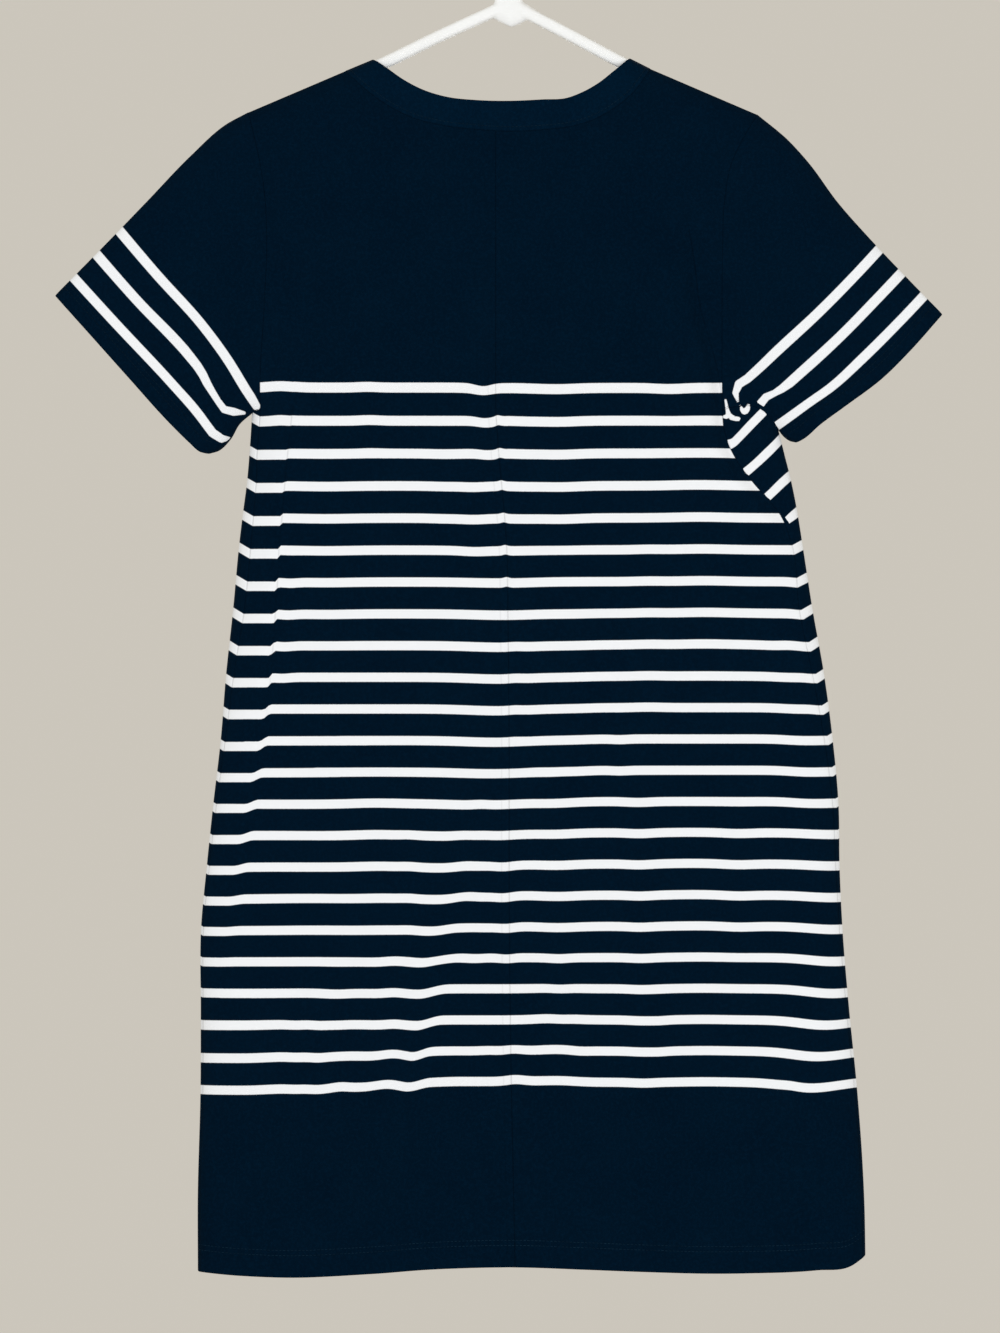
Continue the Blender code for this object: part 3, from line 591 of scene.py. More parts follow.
def bandEdge(points, lines, square=False):
    # the same for stripes given as lines of x, drop and half width, with round or square ends
    best = np.full(points.shape[:-1], farOutside)
    for line in lines:
        line = Line(sampled(curve(*line), 24))
        gap, place = line.near(points)
        inside = line.read(place, 2) - abs(gap)
        if square:
            flat, last = line.points[:, :2], len(line.points) - 1
            for end, inner, atEnd in ((0, 1, place <= 0), (last, last - 1, place >= last)):
                way = flat[end] - flat[inner]
                past = ((points - flat[end]) * way).sum(axis=-1) / np.linalg.norm(way)
                across = np.sqrt(np.maximum(gap * gap - past * past, 0))
                cut = np.minimum(line.points[end, 2] - across, -past)
                inside = np.where(atEnd, cut, inside)
        best = np.maximum(best, inside)
    return best


grid = {                       # how finely the panels are divided
    "rows": 2.6,               # height of one face
    "backColumns": 2.5,        # width of one face
    "frontColumns": 4.8,
    "sleeveColumns": 2.8,
    "wrapColumns": 1.4,        # where the front wraps round to the back on the right
    "leftWrap": 7,             # points across it on the left
    "sleeveTail": {"left": 9, "right": 25},    # points across the gusset's lower part
    "besideSeam": (0, 0.5, 1.1, 1.9, 3.0, 4.6, 6.8),
    "skirt": 650,              # lengths of the panels' parts
    "yoke": 225,
    "shoulder": 95,
    "neck": 120,
    "sleeve": 165,
    "wrap": 34,
    "finerSkirt": 0.07,        # the last part of each has twice the rows
    "finerSleeve": 0.12,
    "finerSeam": 0.14,
    "bandRows": (0, 0.04, 0.1, 0.2, 0.35, 0.5, 0.65, 0.8, 0.9, 0.96, 1),
}


def spread(length, fineStart, fineEnd, step):
    # shares along a length: even steps, with finer ones beside a sewn or turned end
    fine = np.array(grid["besideSeam"])
    start = fine if fineStart else np.array([0.0])
    end = length - (fine if fineEnd else np.array([0.0]))[::-1]
    count = max(int(round((end[0] - start[-1]) / step)), 1)
    middle = np.linspace(start[-1], end[0], count + 1)[1:-1]
    return np.concatenate([start, middle, end]) / length


def finerAtEnd(shares, part):
    # twice as many in the last part
    between = (shares[1:] + shares[:-1]) / 2
    return np.sort(np.concatenate([shares, between[between > 1 - part]]))


lowerRows = finerAtEnd(spread(grid["skirt"], True, False, grid["rows"]), grid["finerSkirt"])
upperRows = spread(grid["yoke"], False, True, grid["rows"])


def chooseOnly(*pieces):
    bpy.ops.object.select_all(action="DESELECT")
    for piece in pieces:
        piece.select_set(True)
    bpy.context.view_layer.objects.active = pieces[0]


def applied(piece, kind, **settings):
    modifier = piece.modifiers.new(kind.lower(), kind)
    for name, value in settings.items():
        setattr(modifier, name, value)
    chooseOnly(piece)
    bpy.ops.object.modifier_apply(modifier=modifier.name)


def newPiece(name, places, faces):
    mesh = bpy.data.meshes.new(name)
    mesh.from_pydata((places * mm).tolist(), [], faces)
    piece = bpy.data.objects.new(name, mesh)
    bpy.context.scene.collection.objects.link(piece)
    return piece


def reshape(piece, *steps):
    # all of it is chosen in edit mode for these operators
    chooseOnly(piece)
    bpy.ops.object.mode_set(mode="EDIT")
    bpy.ops.mesh.select_all(action="SELECT")
    for operator, settings in steps:
        operator(**settings)
    bpy.ops.object.mode_set(mode="OBJECT")


rims = {                       # the sides of a grid, and the axis and end where a row is added
    "left": (np.s_[:, 0], 1, 0), "right": (np.s_[:, -1], 1, 1),
    "bottom": (np.s_[0, :], 0, 0), "top": (np.s_[-1, :], 0, 1),
}


class Panel:                   # one cut piece: grids of cloth, welded and given their wall
    def __init__(self, name):
        self.name = name
        self.parts = []
        self.total = 0

    def addGrid(self, points, sheet, front, stripe, seams="", turned="", hem=0,
                hemSide="bottom", held=()):
        places, normals = formed(points, sheet, front)
        for side in turned.split():        # an edge of the outline: front and back meet there
            edge = rims[side][0]
            places[edge][..., 1] = 0
            normals[edge][..., 1] = 0
            normals[edge] = unit(normals[edge])
        dipped = places.copy()
        # distance from a sewn edge, for the painted shade line along the seam
        seamGap = np.full(points.shape[:-1], farOff)
        widths = [[0, 0], [0, 0], [0, 0]]
        for side in seams.split():
            edge, axis, end = rims[side]
            dipped[edge] = places[edge] - normals[edge] * cloth["seamDip"]
            rim = np.expand_dims(points[edge], axis)
            seamGap = np.minimum(seamGap, np.linalg.norm(points - rim, axis=-1))
            widths[axis][end] = 1
        for corner in held:                # a corner where no cloth is sewn
            dipped[corner] = places[corner]
        shadeLines = np.stack([*creaseShading(points, sheet), seamGap], axis=-1)
        layers = [dipped, normals, stripe[..., None], points, shadeLines]
        if hem:
            layers = self.turnedUp(layers, hem, hemSide)
        layers = [np.pad(layer, widths, mode="edge") for layer in layers]
        places, normals, stripe, points, shadeLines = layers
        for side in seams.split():         # the sewn edge goes straight inside
            edge = rims[side][0]
            places[edge] = places[edge] - normals[edge] * cloth["allowance"]
        rows, columns = places.shape[:2]
        number = np.arange(rows * columns).reshape(rows, columns) + self.total
        faces = np.stack([number[:-1, :-1], number[:-1, 1:], number[1:, 1:], number[1:, :-1]],
                         axis=-1).reshape(-1, 4)
        across = places[:-1, 1:] - places[:-1, :-1]
        up = places[1:, :-1] - places[:-1, :-1]
        if (np.cross(across, up) * normals[:-1, :-1]).sum() < 0:
            faces = faces[:, ::-1]
        self.parts.append((places.reshape(-1, 3), faces, stripe.ravel(), points.reshape(-1, 2),
                           shadeLines.reshape(-1, 3)))
        self.total += rows * columns

    def turnedUp(self, layers, length, side):
        # the hem is folded to the inside: the last rows come back beneath themselves
        flip = side == "top"
        layers = [layer[::-1] if flip else layer for layer in layers]
        places, normals = layers[:2]
        run = np.linalg.norm(np.diff(places, axis=0), axis=-1).mean(axis=1)
        count = int(np.searchsorted(np.cumsum(run), length)) + 2
        wall, gap = cloth["wall"], cloth["layerGap"]
        inner = places[:count][::-1] - normals[:count][::-1] * (2 * wall + gap)
        down = unit(places[0] - places[1])
        fold = places[0] - normals[0] * (wall + gap / 2) + down * wall * cloth["foldOut"]
        outer = places.copy()
        outer[0] = places[0] - normals[0] * cloth["foldIn"]
        result = [np.concatenate([inner, fold[None], outer])]
        for layer in layers[1:]:
            result.append(np.concatenate([layer[:count][::-1], layer[:1], layer]))
        return [layer[::-1] if flip else layer for layer in result]

    def finish(self, material, slot, node):
        places, faces, stripe, points, shadeLines = map(np.concatenate, zip(*self.parts))
        piece = newPiece(self.name, places, faces.tolist())
        mesh = piece.data
        mesh.attributes.new("stripeEdge", "FLOAT", "POINT").data.foreach_set("value", stripe)
        mesh.attributes.new("shadeLines", "FLOAT_VECTOR", "POINT").data.foreach_set(
            "vector", shadeLines.ravel())
        layout = mesh.uv_layers.new(name="flatCloth")
        corners = np.zeros(len(mesh.loops), int)
        mesh.loops.foreach_get("vertex_index", corners)
        layout.data.foreach_set("uv", (points * mm)[corners].ravel())
        reshape(piece, (bpy.ops.mesh.remove_doubles, {"threshold": 0.02 * mm}),
                (bpy.ops.mesh.dissolve_degenerate, {"threshold": 0.005 * mm}))
        applied(piece, "SOLIDIFY", thickness=cloth["wall"] * mm, offset=-1)
        bpy.ops.object.shade_smooth()
        mesh.materials.append(material)
        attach(piece, "root")
        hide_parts(node)
        area = sum(face.area for face in piece.data.polygons) / 2
        print("made", self.name, len(piece.data.polygons), "faces", round(area, 4), "m2 of cloth")
        return piece


class Value:                   # a shader socket that can be used in sums
    def __init__(self, bench, socket):
        self.bench, self.socket = bench, socket

    def work(self, operation, *values):
        return self.bench.node("ShaderNodeMath", {"operation": operation},
                               dict(enumerate(values)))

    def __add__(self, other):
        return self.work("ADD", self, other)

    __radd__ = __add__

    def __sub__(self, other):
        return self.work("SUBTRACT", self, other)

    def __rsub__(self, other):
        return self.work("SUBTRACT", other, self)

    def __mul__(self, other):
        return self.work("MULTIPLY", self, other)

    __rmul__ = __mul__

    def __truediv__(self, other):
        return self.work("DIVIDE", self, other)

    def __abs__(self):
        return self.work("ABSOLUTE", self)

    def sine(self):
        return self.work("SINE", self)

    def part(self):
        return self.work("FRACT", self)

    def held(self, low, high):
        return self.work("MINIMUM", self.work("MAXIMUM", self, low), high)


class Finish:                  # one material and its nodes
    def __init__(self, name, **constants):
        self.material = bpy.data.materials.new(name)
        self.material.use_nodes = True
        self.tree = self.material.node_tree
        self.shader = self.tree.nodes["Principled BSDF"]
        for socket, value in constants.items():
            self.shader.inputs[socket.replace("_", " ")].default_value = value

    def node(self, kind, settings=None, sockets=None, output=0):
        node = self.tree.nodes.new(kind)
        for name, value in (settings or {}).items():
            setattr(node, name, value)
        for name, value in (sockets or {}).items():
            if isinstance(value, Value):
                self.tree.links.new(value.socket, node.inputs[name])
            else:
                node.inputs[name].default_value = value
        return Value(self, node.outputs[output])

    def mix(self, share, first, second):
        return self.node("ShaderNodeMix", {"data_type": "RGBA"},
                         {0: share, 6: first, 7: second}, 2)

    def apart(self, vector):
        node = self.node("ShaderNodeSeparateXYZ", None, {0: vector}).socket.node
        return [Value(self, socket) for socket in node.outputs]

    def feed(self, socket, value):
        self.tree.links.new(value.socket, self.shader.inputs[socket])

    def place(self):
        return self.node("ShaderNodeTexCoord", None, None, 3)     # Object coordinates

    def bump(self, strength, depth, height):
        self.feed("Normal", self.node("ShaderNodeBump", None, {
            "Strength": strength, "Distance": depth * mm, "Height": height}))


def noise(finish, place, scale, detail):
    return finish.node("ShaderNodeTexNoise", None,
                       {"Vector": place, "Scale": scale, "Detail": detail, "Roughness": 0.55})


jersey = {
    "navy": (0.0, 0.0050, 0.0136),
    "navyLight": (0.0002, 0.0066, 0.0168),
    "fleck": (0.00064, 0.02112, 0.05376),
    "white": (0.845, 0.848, 0.84, 1),
    "whiteShade": (0.81, 0.815, 0.81, 1),
    "between": (0.60, 0.61, 0.64, 1),    # painted shade on the white cloth between two columns of stitches
    "shadow": (0.0, 0.0004, 0.0015, 1),
    "wale": 0.95,              # width of one column of stitches
    "course": 0.8,             # height of one stitch
    "flecks": 0.5,             # their share
    "cloudy": (28.0, 3.0),     # scale and detail of each noise
    "grain": (480.0, 2.0),
    "fuzz": (1500.0, 2.0),
    "gleam": (0.35, 0.7, 1.0, 1),
    "seamWidth": 0.9,          # half the width of the painted shade line along a seam and a crease
}


def jerseyFinish(name, striped=True, wale=None, light=1.0):
    finish = Finish(name, Roughness=0.9, Specular_IOR_Level=0.04, Sheen_Weight=0.006,
                    Sheen_Roughness=0.5, Specular_Tint=jersey["gleam"],
                    Sheen_Tint=jersey["gleam"])
    flat = finish.node("ShaderNodeUVMap", {"uv_map": "flatCloth"})
    place = finish.place()
    u, v, _ = finish.apart(flat)
    creaseGap, creaseShade, seamGap = finish.apart(
        finish.node("ShaderNodeAttribute", {"attribute_name": "shadeLines"}, None, 1))
    width = (wale or jersey["wale"]) * mm
    leg = abs((u / width).part() - 0.5) * 2
    course = (v / (jersey["course"] * mm) + leg * 0.6).part()
    loop = (leg * math.pi).sine() * (0.65 + 0.35 * (course * (2 * math.pi)).sine())
    cloudy, grain, fuzz = (noise(finish, place, *jersey[kind])
                           for kind in ("cloudy", "grain", "fuzz"))
    dark, lighter, fleck = ([light * part for part in jersey[tone]] + [1]
                            for tone in ("navy", "navyLight", "fleck"))
    navy = finish.mix((cloudy * 1.4 - 0.2).held(0, 1), dark, lighter)
    flecks = ((grain - 0.42) * jersey["flecks"]).held(0, 1)
    navy = finish.mix(flecks, navy, fleck)
    # painted shade in the grooves between the knit's columns of stitches
    navy = finish.mix((0.28 - loop * 0.3).held(0, 1), navy, jersey["shadow"])
    colour = navy
    if striped:
        edge = finish.node("ShaderNodeAttribute", {"attribute_name": "stripeEdge"}, None, 2)
        inside = (edge + (fuzz - 0.5) * 0.35) * 2.2 + 0.5
        white = finish.mix((cloudy * 1.2 - 0.1).held(0, 1), jersey["white"], jersey["whiteShade"])
        # the same painted shade between the columns of stitches, on the white
        white = finish.mix((0.10 - loop * 0.10).held(0, 1), white, jersey["between"])
        colour = finish.mix(inside.held(0, 1), navy, white)
    # painted shade: dark lines along the creases, the deep fold and the sewn seams
    line = (1 - abs(creaseGap) / jersey["seamWidth"]).held(0, 1) * creaseShade
    seam = (1 - seamGap / jersey["seamWidth"]).held(0, 1) * creases["seamShade"]
    finish.feed("Base Color", finish.mix((line + seam).held(0, 1), colour, jersey["shadow"]))
    finish.bump(0.4, 0.12, loop * 0.8 + fuzz * 0.35)
    return finish.material


def neckShare(kind):
    # where the middle of the neck is, along its seam
    if kind == "front":
        return 0.5
    points = sampled(neckSeam[kind], 200)
    return float(np.interp(centreTop()[0], points[:, 0], np.linspace(0, 1, len(points))))


def halfTop(side, kind):
    # the top of half a panel: its shoulder and then its part of the neck
    seam, middle = neckSeam[kind], neckShare(kind)
    if side == "left":
        return joined(shoulder[side], lambda t: seam(t * middle), body["shoulderShare"])
    return joined(shoulder[side], lambda t: seam(1 - t * (1 - middle)), body["shoulderShare"])


def halfColumns(fineCentre, step):
    share = body["shoulderShare"]
    first = spread(grid["shoulder"], True, False, step) * share
    rest = share + spread(grid["neck"], False, fineCentre, step) * (1 - share)
    return np.concatenate([first, rest[1:]])


def makeBack(side):
    panel = Panel("dressBack" + side.capitalize())
    flank = sideLine(side + "Seam", shape["underarm"][side])
    centre = sideLine("centreSeam", centreTop())
    level = curve(shape["underarm"][side], centreTop())
    columns = halfColumns(True, grid["backColumns"])
    top = halfTop(side, "back")
    lower = patchBetween(flank, centre, hemBetween(flank, centre), level, columns, lowerRows,
                         body["hold"])
    upper = patchBetween(armholeBack[side], curve(centreTop(), top(1)), level, top, columns,
                         upperRows)
    points = np.concatenate([lower, upper[1:]])
    stripe = stripeEdge(points, stripeShift(points))
    panel.addGrid(points, "back", -1, stripe, "left right top", hem=body["turnUp"])
    return panel.finish(jerseyFinish(side + "BackJersey"), "jersey", "back_" + side)


wrapping = {                   # how the front brings its stripes round to the side seams
    "lift": 0.55,              # how much they rise for each mm beyond the seam
    "liftAbove": (760, -100),  # drop, and over what height upwards that begins
    "rightTop": (440, -50),    # the same for where the right side differs:
    "rightLess": 0.15,         # above there it rises by this share less,
    "rightStart": 2.5,         # and below there only from this far beyond the seam
    "underarmFoot": 357,       # drop to which the right underarm's own stripes reach
    "wave": (1.2, 47, 210),    # height and lengths of the front's long wave
    "waveBelow": (400, 300),
    "edgeWidth": 55,           # in which the front's stripes lead to its edges
    "edgeLift": {"left": 0.0, "right": 3.0},
    "edgeLiftAbove": (380, -60),
}


def wrapShift(points, side):
    # the stripes as the front brings them round to the side seam
    drop = points[..., 1]
    seam = bodyLine[side + "Seam"](drop)
    lift = wrapping["lift"] * fading(drop, *wrapping["liftAbove"])
    start = 0.0
    if side == "right":
        high = fading(drop, *wrapping["rightTop"])
        lift = lift * (1 - wrapping["rightLess"] * high)
        start = wrapping["rightStart"] * (1 - high)
    beyond = np.maximum(abs(points[..., 0] - seam) - start, 0)
    return stripeShift(paired(seam, drop)) - lift * beyond


def frontShift(points):
    x, drop = points[..., 0], points[..., 1]
    height, across, down = wrapping["wave"]
    shift = height * np.sin(x / across + drop / down) * fading(drop, *wrapping["waveBelow"])
    high = fading(drop, *wrapping["edgeLiftAbove"])
    for side in sides:
        edge = bodyLine[side + "Edge"](drop)
        atEdge = wrapShift(paired(edge, drop), side) - wrapping["edgeLift"][side] * high
        share = hill(abs(x - edge), wrapping["edgeWidth"])
        shift = shift * (1 - share) + atEdge * share
    return shift


def frontStripes(points, shift):
    # the body's stripes, with those of the right underarm above its foot
    free = points[..., 1] > wrapping["underarmFoot"]
    return np.where(free, stripeEdge(points, shift), bandEdge(points, underarmStripes, True))


underarmStripes = (            # where the front wraps round to the back at the right underarm
    ((168.9, 292.3, 3.7), (172.0, 291.0, 3.2), (175.6, 287.6, 3.1), (184.7, 278.0, 3.2),
     (194.9, 267.6, 3.2)),
    ((181.4, 313.3, 3.3), (186.3, 309.2, 3.2), (198.5, 297.9, 3.3), (204.8, 291.6, 3.2),
     (213, 283.0, 3.2)),
    ((197.8, 332.0, 3.2), (201.9, 328.2, 3.2), (207.8, 322.4, 3.3), (222, 310.0, 3.3)),
    ((213.0, 349.6, 2.8), (216.6, 346.7, 3.2), (227, 338.2, 3.3)),
    ((166.0, 258.1, 0.7), (166.8, 262.3, 1.0), (167.7, 266.8, 1.4), (168.8, 269.9, 1.9),
     (171, 271.9, 1.8), (174.1, 272.9, 1.7), (176.9, 273.0, 1.4)),
    ((164.3, 271.3, 1.0), (168, 271.4, 1.8)),
    ((176.8, 262.3, 0.3), (178.3, 265.3, 1.4), (180.5, 267.4, 2.3), (182.7, 265.7, 1.8),
     (183.4, 261.7, 0.9)),
)


def makeFront():
    panel = Panel("dressFront")
    edge = {side: sideLine(side + "Edge", shape["underarmEdge"][side]) for side in sides}
    half = halfColumns(False, grid["frontColumns"])
    columns = np.concatenate([half / 2, 1 - half[::-1][1:] / 2])
    level = curve(shape["underarmEdge"]["left"], shape["underarmEdge"]["right"])

    def top(u):
        u = np.asarray(u, float)
        left = halfTop("left", "front")(2 * u)
        right = halfTop("right", "front")(2 - 2 * u)
        return np.where((u <= 0.5)[..., None], left, right)

    hem = hemBetween(edge["left"], edge["right"])
    lower = patchBetween(edge["left"], edge["right"], hem, level, columns, lowerRows,
                         body["hold"])
    upper = patchBetween(armholeFront["left"], armholeFront["right"], level, top, columns,
                         upperRows)
    shift = frontShift(lower)
    stripe = stripeEdge(lower, shift)
    stripe[:, -1] = frontStripes(lower[:, -1], shift[:, -1])    # the edge that turns to the back
    panel.addGrid(lower, "front", 1, stripe, "", "left right", hem=body["turnUp"])
    panel.addGrid(upper, "front", 1, stripeEdge(upper, frontShift(upper)), "left right top",
                  held=((0, 0), (0, -1)))
    for side in sides:
        seam = sideLine(side + "Seam", shape["underarm"][side])
        foot = curve(seam(0), edge[side](0))
        across = np.linspace(0, 1, grid["leftWrap"])
        if side == "right":
            across = spread(grid["wrap"], True, False, grid["wrapColumns"])
        wrap = patchBetween(seam, edge[side], foot, wrapTop[side], across, lowerRows,
                            body["hold"])
        marked = frontStripes if side == "right" else stripeEdge
        panel.addGrid(wrap, "back", -1, marked(wrap, wrapShift(wrap, side)), "left top", "right",
                      hem=body["turnUp"], held=((-1, -1),))
    return panel.finish(jerseyFinish("frontJersey"), "jersey", "front")


sleeveStripes = {              # lines of x, drop and half width, on the back of each sleeve,
    "left": (                  # how many points the front shares, and the front's other points
        (((-304, 117, 3.8), (-264, 164, 3.6), (-229, 203, 3.5), (-210, 229, 3.5),
          (-196, 252, 3.5), (-190.5, 260.5, 3.3), (-188.9, 263.3, 3.0)),
         2, ((-229, 203, 3.6), (-205, 240, 3.6), (-188, 268, 3.2))),
        (((-322, 134.5, 3.8), (-279, 183.5, 3.6), (-239, 226, 3.6), (-231, 236.5, 3.3),
          (-224.5, 249, 2.9), (-219, 257.5, 2.4), (-216.1, 262.3, 2.5), (-212.8, 266.2, 2.7),
          (-209.3, 268.0, 3.3), (-204.4, 267.4, 2.8), (-200.6, 267.8, 2.5), (-198.2, 268.4, 1.2)),
         3, ((-219, 252, 3.6), (-208, 265, 3.0))),
        (((-339, 153, 3.7), (-296, 200, 3.5), (-252.5, 246.5, 3.4), (-232, 270, 3.4),
          (-226.5, 277.5, 3.3), (-221, 284.5, 3.3), (-216.5, 287.5, 3.2), (-211, 288.4, 2.0),
          (-207.4, 287.6, 0.5)),
         1, ((-296, 200, 3.6), (-252, 246, 3.6), (-228, 272, 3.4), (-214, 284, 2.6))),
    ),
    "right": (
        (((294, 132, 3.8), (266, 162.5, 3.7), (236, 193, 3.7), (205, 221.7, 3.7),
          (187.7, 238.1, 3.4), (180.2, 244.5, 3.2), (174.9, 247.9, 3.0), (173.7, 252.5, 2.4),
          (174.1, 257, 1.7), (175.6, 260.4, 0.7)),
         4, ((180, 243, 3.6),)),
        (((312, 149, 3.8), (282.5, 180.3, 3.7), (252.5, 211, 3.7), (222, 239, 3.7),
          (211.2, 248.4, 3.4), (204.4, 252.9, 2.4), (198.3, 255.7, 2.7), (194.4, 258.2, 3.1),
          (192.4, 261.8, 3.1)),
         4, ((190, 264, 3.5),)),
        (((330, 165, 3.7), (300, 197, 3.6), (270, 227, 3.6), (246, 249, 3.3),
          (229, 261, 3.2), (212, 273.3, 3.3), (205.1, 278.2, 3.3)),
         3, ((240, 254, 3.6), (204, 280, 3.2))),
    ),
}


def makeSleeve(side):
    panel = Panel("dressSleeve" + side.capitalize())
    turn = shape["gussetCuffShare"]
    cuff = cuffLine[side]
    gusset = curve(shape["underarm"][side], *shape["gusset"][side], cuff(turn))
    under = sleeveUnder[side]
    down = finerAtEnd(1 - upperRows[::-1], grid["finerSleeve"])
    along = spread(grid["sleeve"], True, False, grid["sleeveColumns"])
    along = 1 - finerAtEnd(1 - along[::-1], grid["finerSeam"])[::-1]
    back = patchBetween(sleeveTop[side], gusset, lambda t: armholeBack[side](1 - t),
                        lambda u: cuff(u * turn), down, along)
    acrossTail = np.linspace(0, 1, grid["sleeveTail"][side])
    tail = patchBetween(gusset, under, wrapTop[side], lambda u: cuff(turn + u * (1 - turn)),
                        acrossTail, along)
    front = patchBetween(sleeveTop[side], under, lambda t: armholeFront[side](1 - t), cuff,
                         down, along)
    backLines = [line for line, _, _ in sleeveStripes[side]]
    frontLines = [line[:shared] + ends for line, shared, ends in sleeveStripes[side]]
    cornered = side == "right"
    if cornered:
        backLines += underarmStripes[4:]
    for points, sheet, out, lines, square, turned in (
            (back, "back", -1, backLines, cornered, "left"),
            (tail, "back", -1, backLines, cornered, "right"),
            (front, "front", 1, frontLines, False, "left right")):
        panel.addGrid(points, sheet, out, bandEdge(points, lines, square), "bottom", turned,
                      hem=shape["cuffTurnUp"], hemSide="top")
    return panel.finish(jerseyFinish(side + "SleeveJersey"), "jersey", "sleeve_" + side)


def makeNeckband():
    panel = Panel("dressNeckband")
    for kind, front in sheets:
        middle = neckShare(kind)
        share = body["shoulderShare"]
        half = halfColumns(kind == "back", grid[kind + "Columns"])
        half = (half - share) / (1 - share)
        half = np.maximum(half[half > -1e-9], 0)
        columns = np.concatenate([half * middle, 1 - half[::-1][1:] * (1 - middle)])
        ends = [curve(shape["bandCorner"][side], shape["neckPoint"][side]) for side in sides]
        points = patchBetween(*ends, neckSeam[kind], neckEdge[kind], columns,
                              np.array(grid["bandRows"]))
        panel.addGrid(points, kind, front, np.full(points.shape[:-1], farOutside), "bottom",
                      "left right", hem=band["turned"], hemSide="top")
    material = jerseyFinish("neckRib", False, band["wale"], band["light"])
    return panel.finish(material, "neck_jersey", "neckband")


stitching = {
    "length": 2.3,
    "repeat": 2.9,             # from one stitch to the next
    "radius": 0.24,
    "proud": 0.1,              # height of a stitch's middle above the cloth
    "hemRows": (16.3, 20.2),   # above the hem's edge
    "cuffRows": (9.2, 12.6),   # above the cuff's edge
    "bandRows": (3.4,),        # above the neckband's seam
    "sides": 6,
    "rings": ((-0.72, 0.75), (0.0, 1.0), (0.72, 0.75)),    # place and width, in halves
    "fromOutline": 0.8,        # no stitch where the cloth is this close to flat at its edge
    "tone": {"cuff": 0.5, "neck": 0.7},    # brightness against the hem's thread
    "hemEnds": 18,             # how far above the hem the rows' ends are read
    "colours": ((0.001, 0.007, 0.017), (0.006, 0.022, 0.042)),
    "ply": (5200.0, 1.0),      # scale and detail of each noise
    "uneven": (90.0, 2.0),
}


def threadFinish(name, tone):
    finish = Finish(name, Roughness=0.6, Specular_IOR_Level=0.12,
                    Specular_Tint=jersey["gleam"])
    place = finish.place()
    ply, uneven = (noise(finish, place, *stitching[kind]) for kind in ("ply", "uneven"))
    dark, pale = ([tone * part for part in colour] + [1] for colour in stitching["colours"])
    finish.feed("Base Color", finish.mix((uneven * 2.4 - 0.7).held(0, 1), dark, pale))
    finish.bump(0.5, 0.05, ply)
    return finish.material


def stitchRow(points, sheet, front):
    # small closed beads of thread along a line on the cloth
    points = points[depthSquared(points, sheet) > stitching["fromOutline"]]
    places, normals = formed(points, sheet, front)
    lengths = np.concatenate(([0.0], np.cumsum(np.linalg.norm(np.diff(places, axis=0), axis=1))))
    middles = np.arange(stitching["repeat"] / 2, lengths[-1], stitching["repeat"])

    def along(values, shift):
        return np.stack([np.interp(middles + shift, lengths, column) for column in values.T], 1)

    half = stitching["length"] / 2
    way = unit(along(places, half) - along(places, -half))
    out = unit(along(normals, 0))
    cross = np.cross(way, out)
    count = stitching["sides"]
    turns = np.arange(count) * 2 * math.pi / count
    local = [(-1.0, 0.0, 0.0)]
    for share, width in stitching["rings"]:
        local += [(share, width * math.cos(turn), width * math.sin(turn)) for turn in turns]
    local.append((1.0, 0.0, 0.0))
    last = len(local) - 1
    faces = [(0, 1 + turn, 1 + (turn + 1) % count) for turn in range(count)]
    for ring in range(1, last - count, count):
        faces += [(ring + turn, ring + count + turn, ring + count + (turn + 1) % count,
                   ring + (turn + 1) % count) for turn in range(count)]
    faces += [(last, last - count + (turn + 1) % count, last - count + turn)
              for turn in range(count)]
    centre = along(places, 0) + out * stitching["proud"]
    beads = np.stack([centre + way * share * half + (cross * side + out * up) * stitching["radius"]
                      for share, side, up in local], axis=1)
    return beads.reshape(-1, 3), faces, len(middles)


def makeStitching(name, rows, tone=1.0):
    corners, allFaces, total, stitches = [], [], 0, 0
    for points, sheet, front in rows:
        beads, faces, count = stitchRow(points, sheet, front)
        for number in range(count):
            start = total + number * (len(beads) // count)
            allFaces += [[start + corner for corner in face] for face in faces]
        corners.append(beads)
        total += len(beads)
        stitches += count
    piece = newPiece(name, np.concatenate(corners), allFaces)
    reshape(piece, (bpy.ops.mesh.normals_make_consistent, {"inside": False}))
    bpy.ops.object.shade_smooth()
    piece.data.materials.append(threadFinish(name + "Thread", tone))
    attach(piece, "root")
    print("made", name, stitches, "stitches")


def onBoth(line):
    return [(line, sheet, front) for sheet, front in sheets]


def hemRows():
    above = body["rows"][-1][0] - stitching["hemEnds"]
    left, right = (float(bodyLine[side + "Edge"](above)) for side in sides)
    x = left + (right - left) * np.linspace(0, 1, 500)
    for height in stitching["hemRows"]:
        yield from onBoth(paired(x, hemDrop(x) - height))


def cuffRows(side):
    line = sampled(cuffLine[side], 200)
    way = unit(np.gradient(line, axis=0))
    inward = paired(-way[:, 1], way[:, 0]) * (-1 if side == "left" else 1)
    for height in stitching["cuffRows"]:
        yield from onBoth(line + inward * height)


def bandRows():
    share = np.linspace(0.004, 0.996, 260)
    for kind, front in sheets:
        seam, edge = neckSeam[kind](share), neckEdge[kind](share)
        way = unit(edge - seam)
        for height in stitching["bandRows"]:
            yield seam + way * height, kind, front


backLeft, backRight = makeBack("left"), makeBack("right")
dressFront = makeFront()
sleeveLeft, sleeveRight = makeSleeve("left"), makeSleeve("right")
neckband = makeNeckband()
makeStitching("hemStitching", hemRows())
for side in sides:
    makeStitching("cuffStitching" + side.capitalize(), cuffRows(side), stitching["tone"]["cuff"])
makeStitching("neckStitching", bandRows(), stitching["tone"]["neck"])

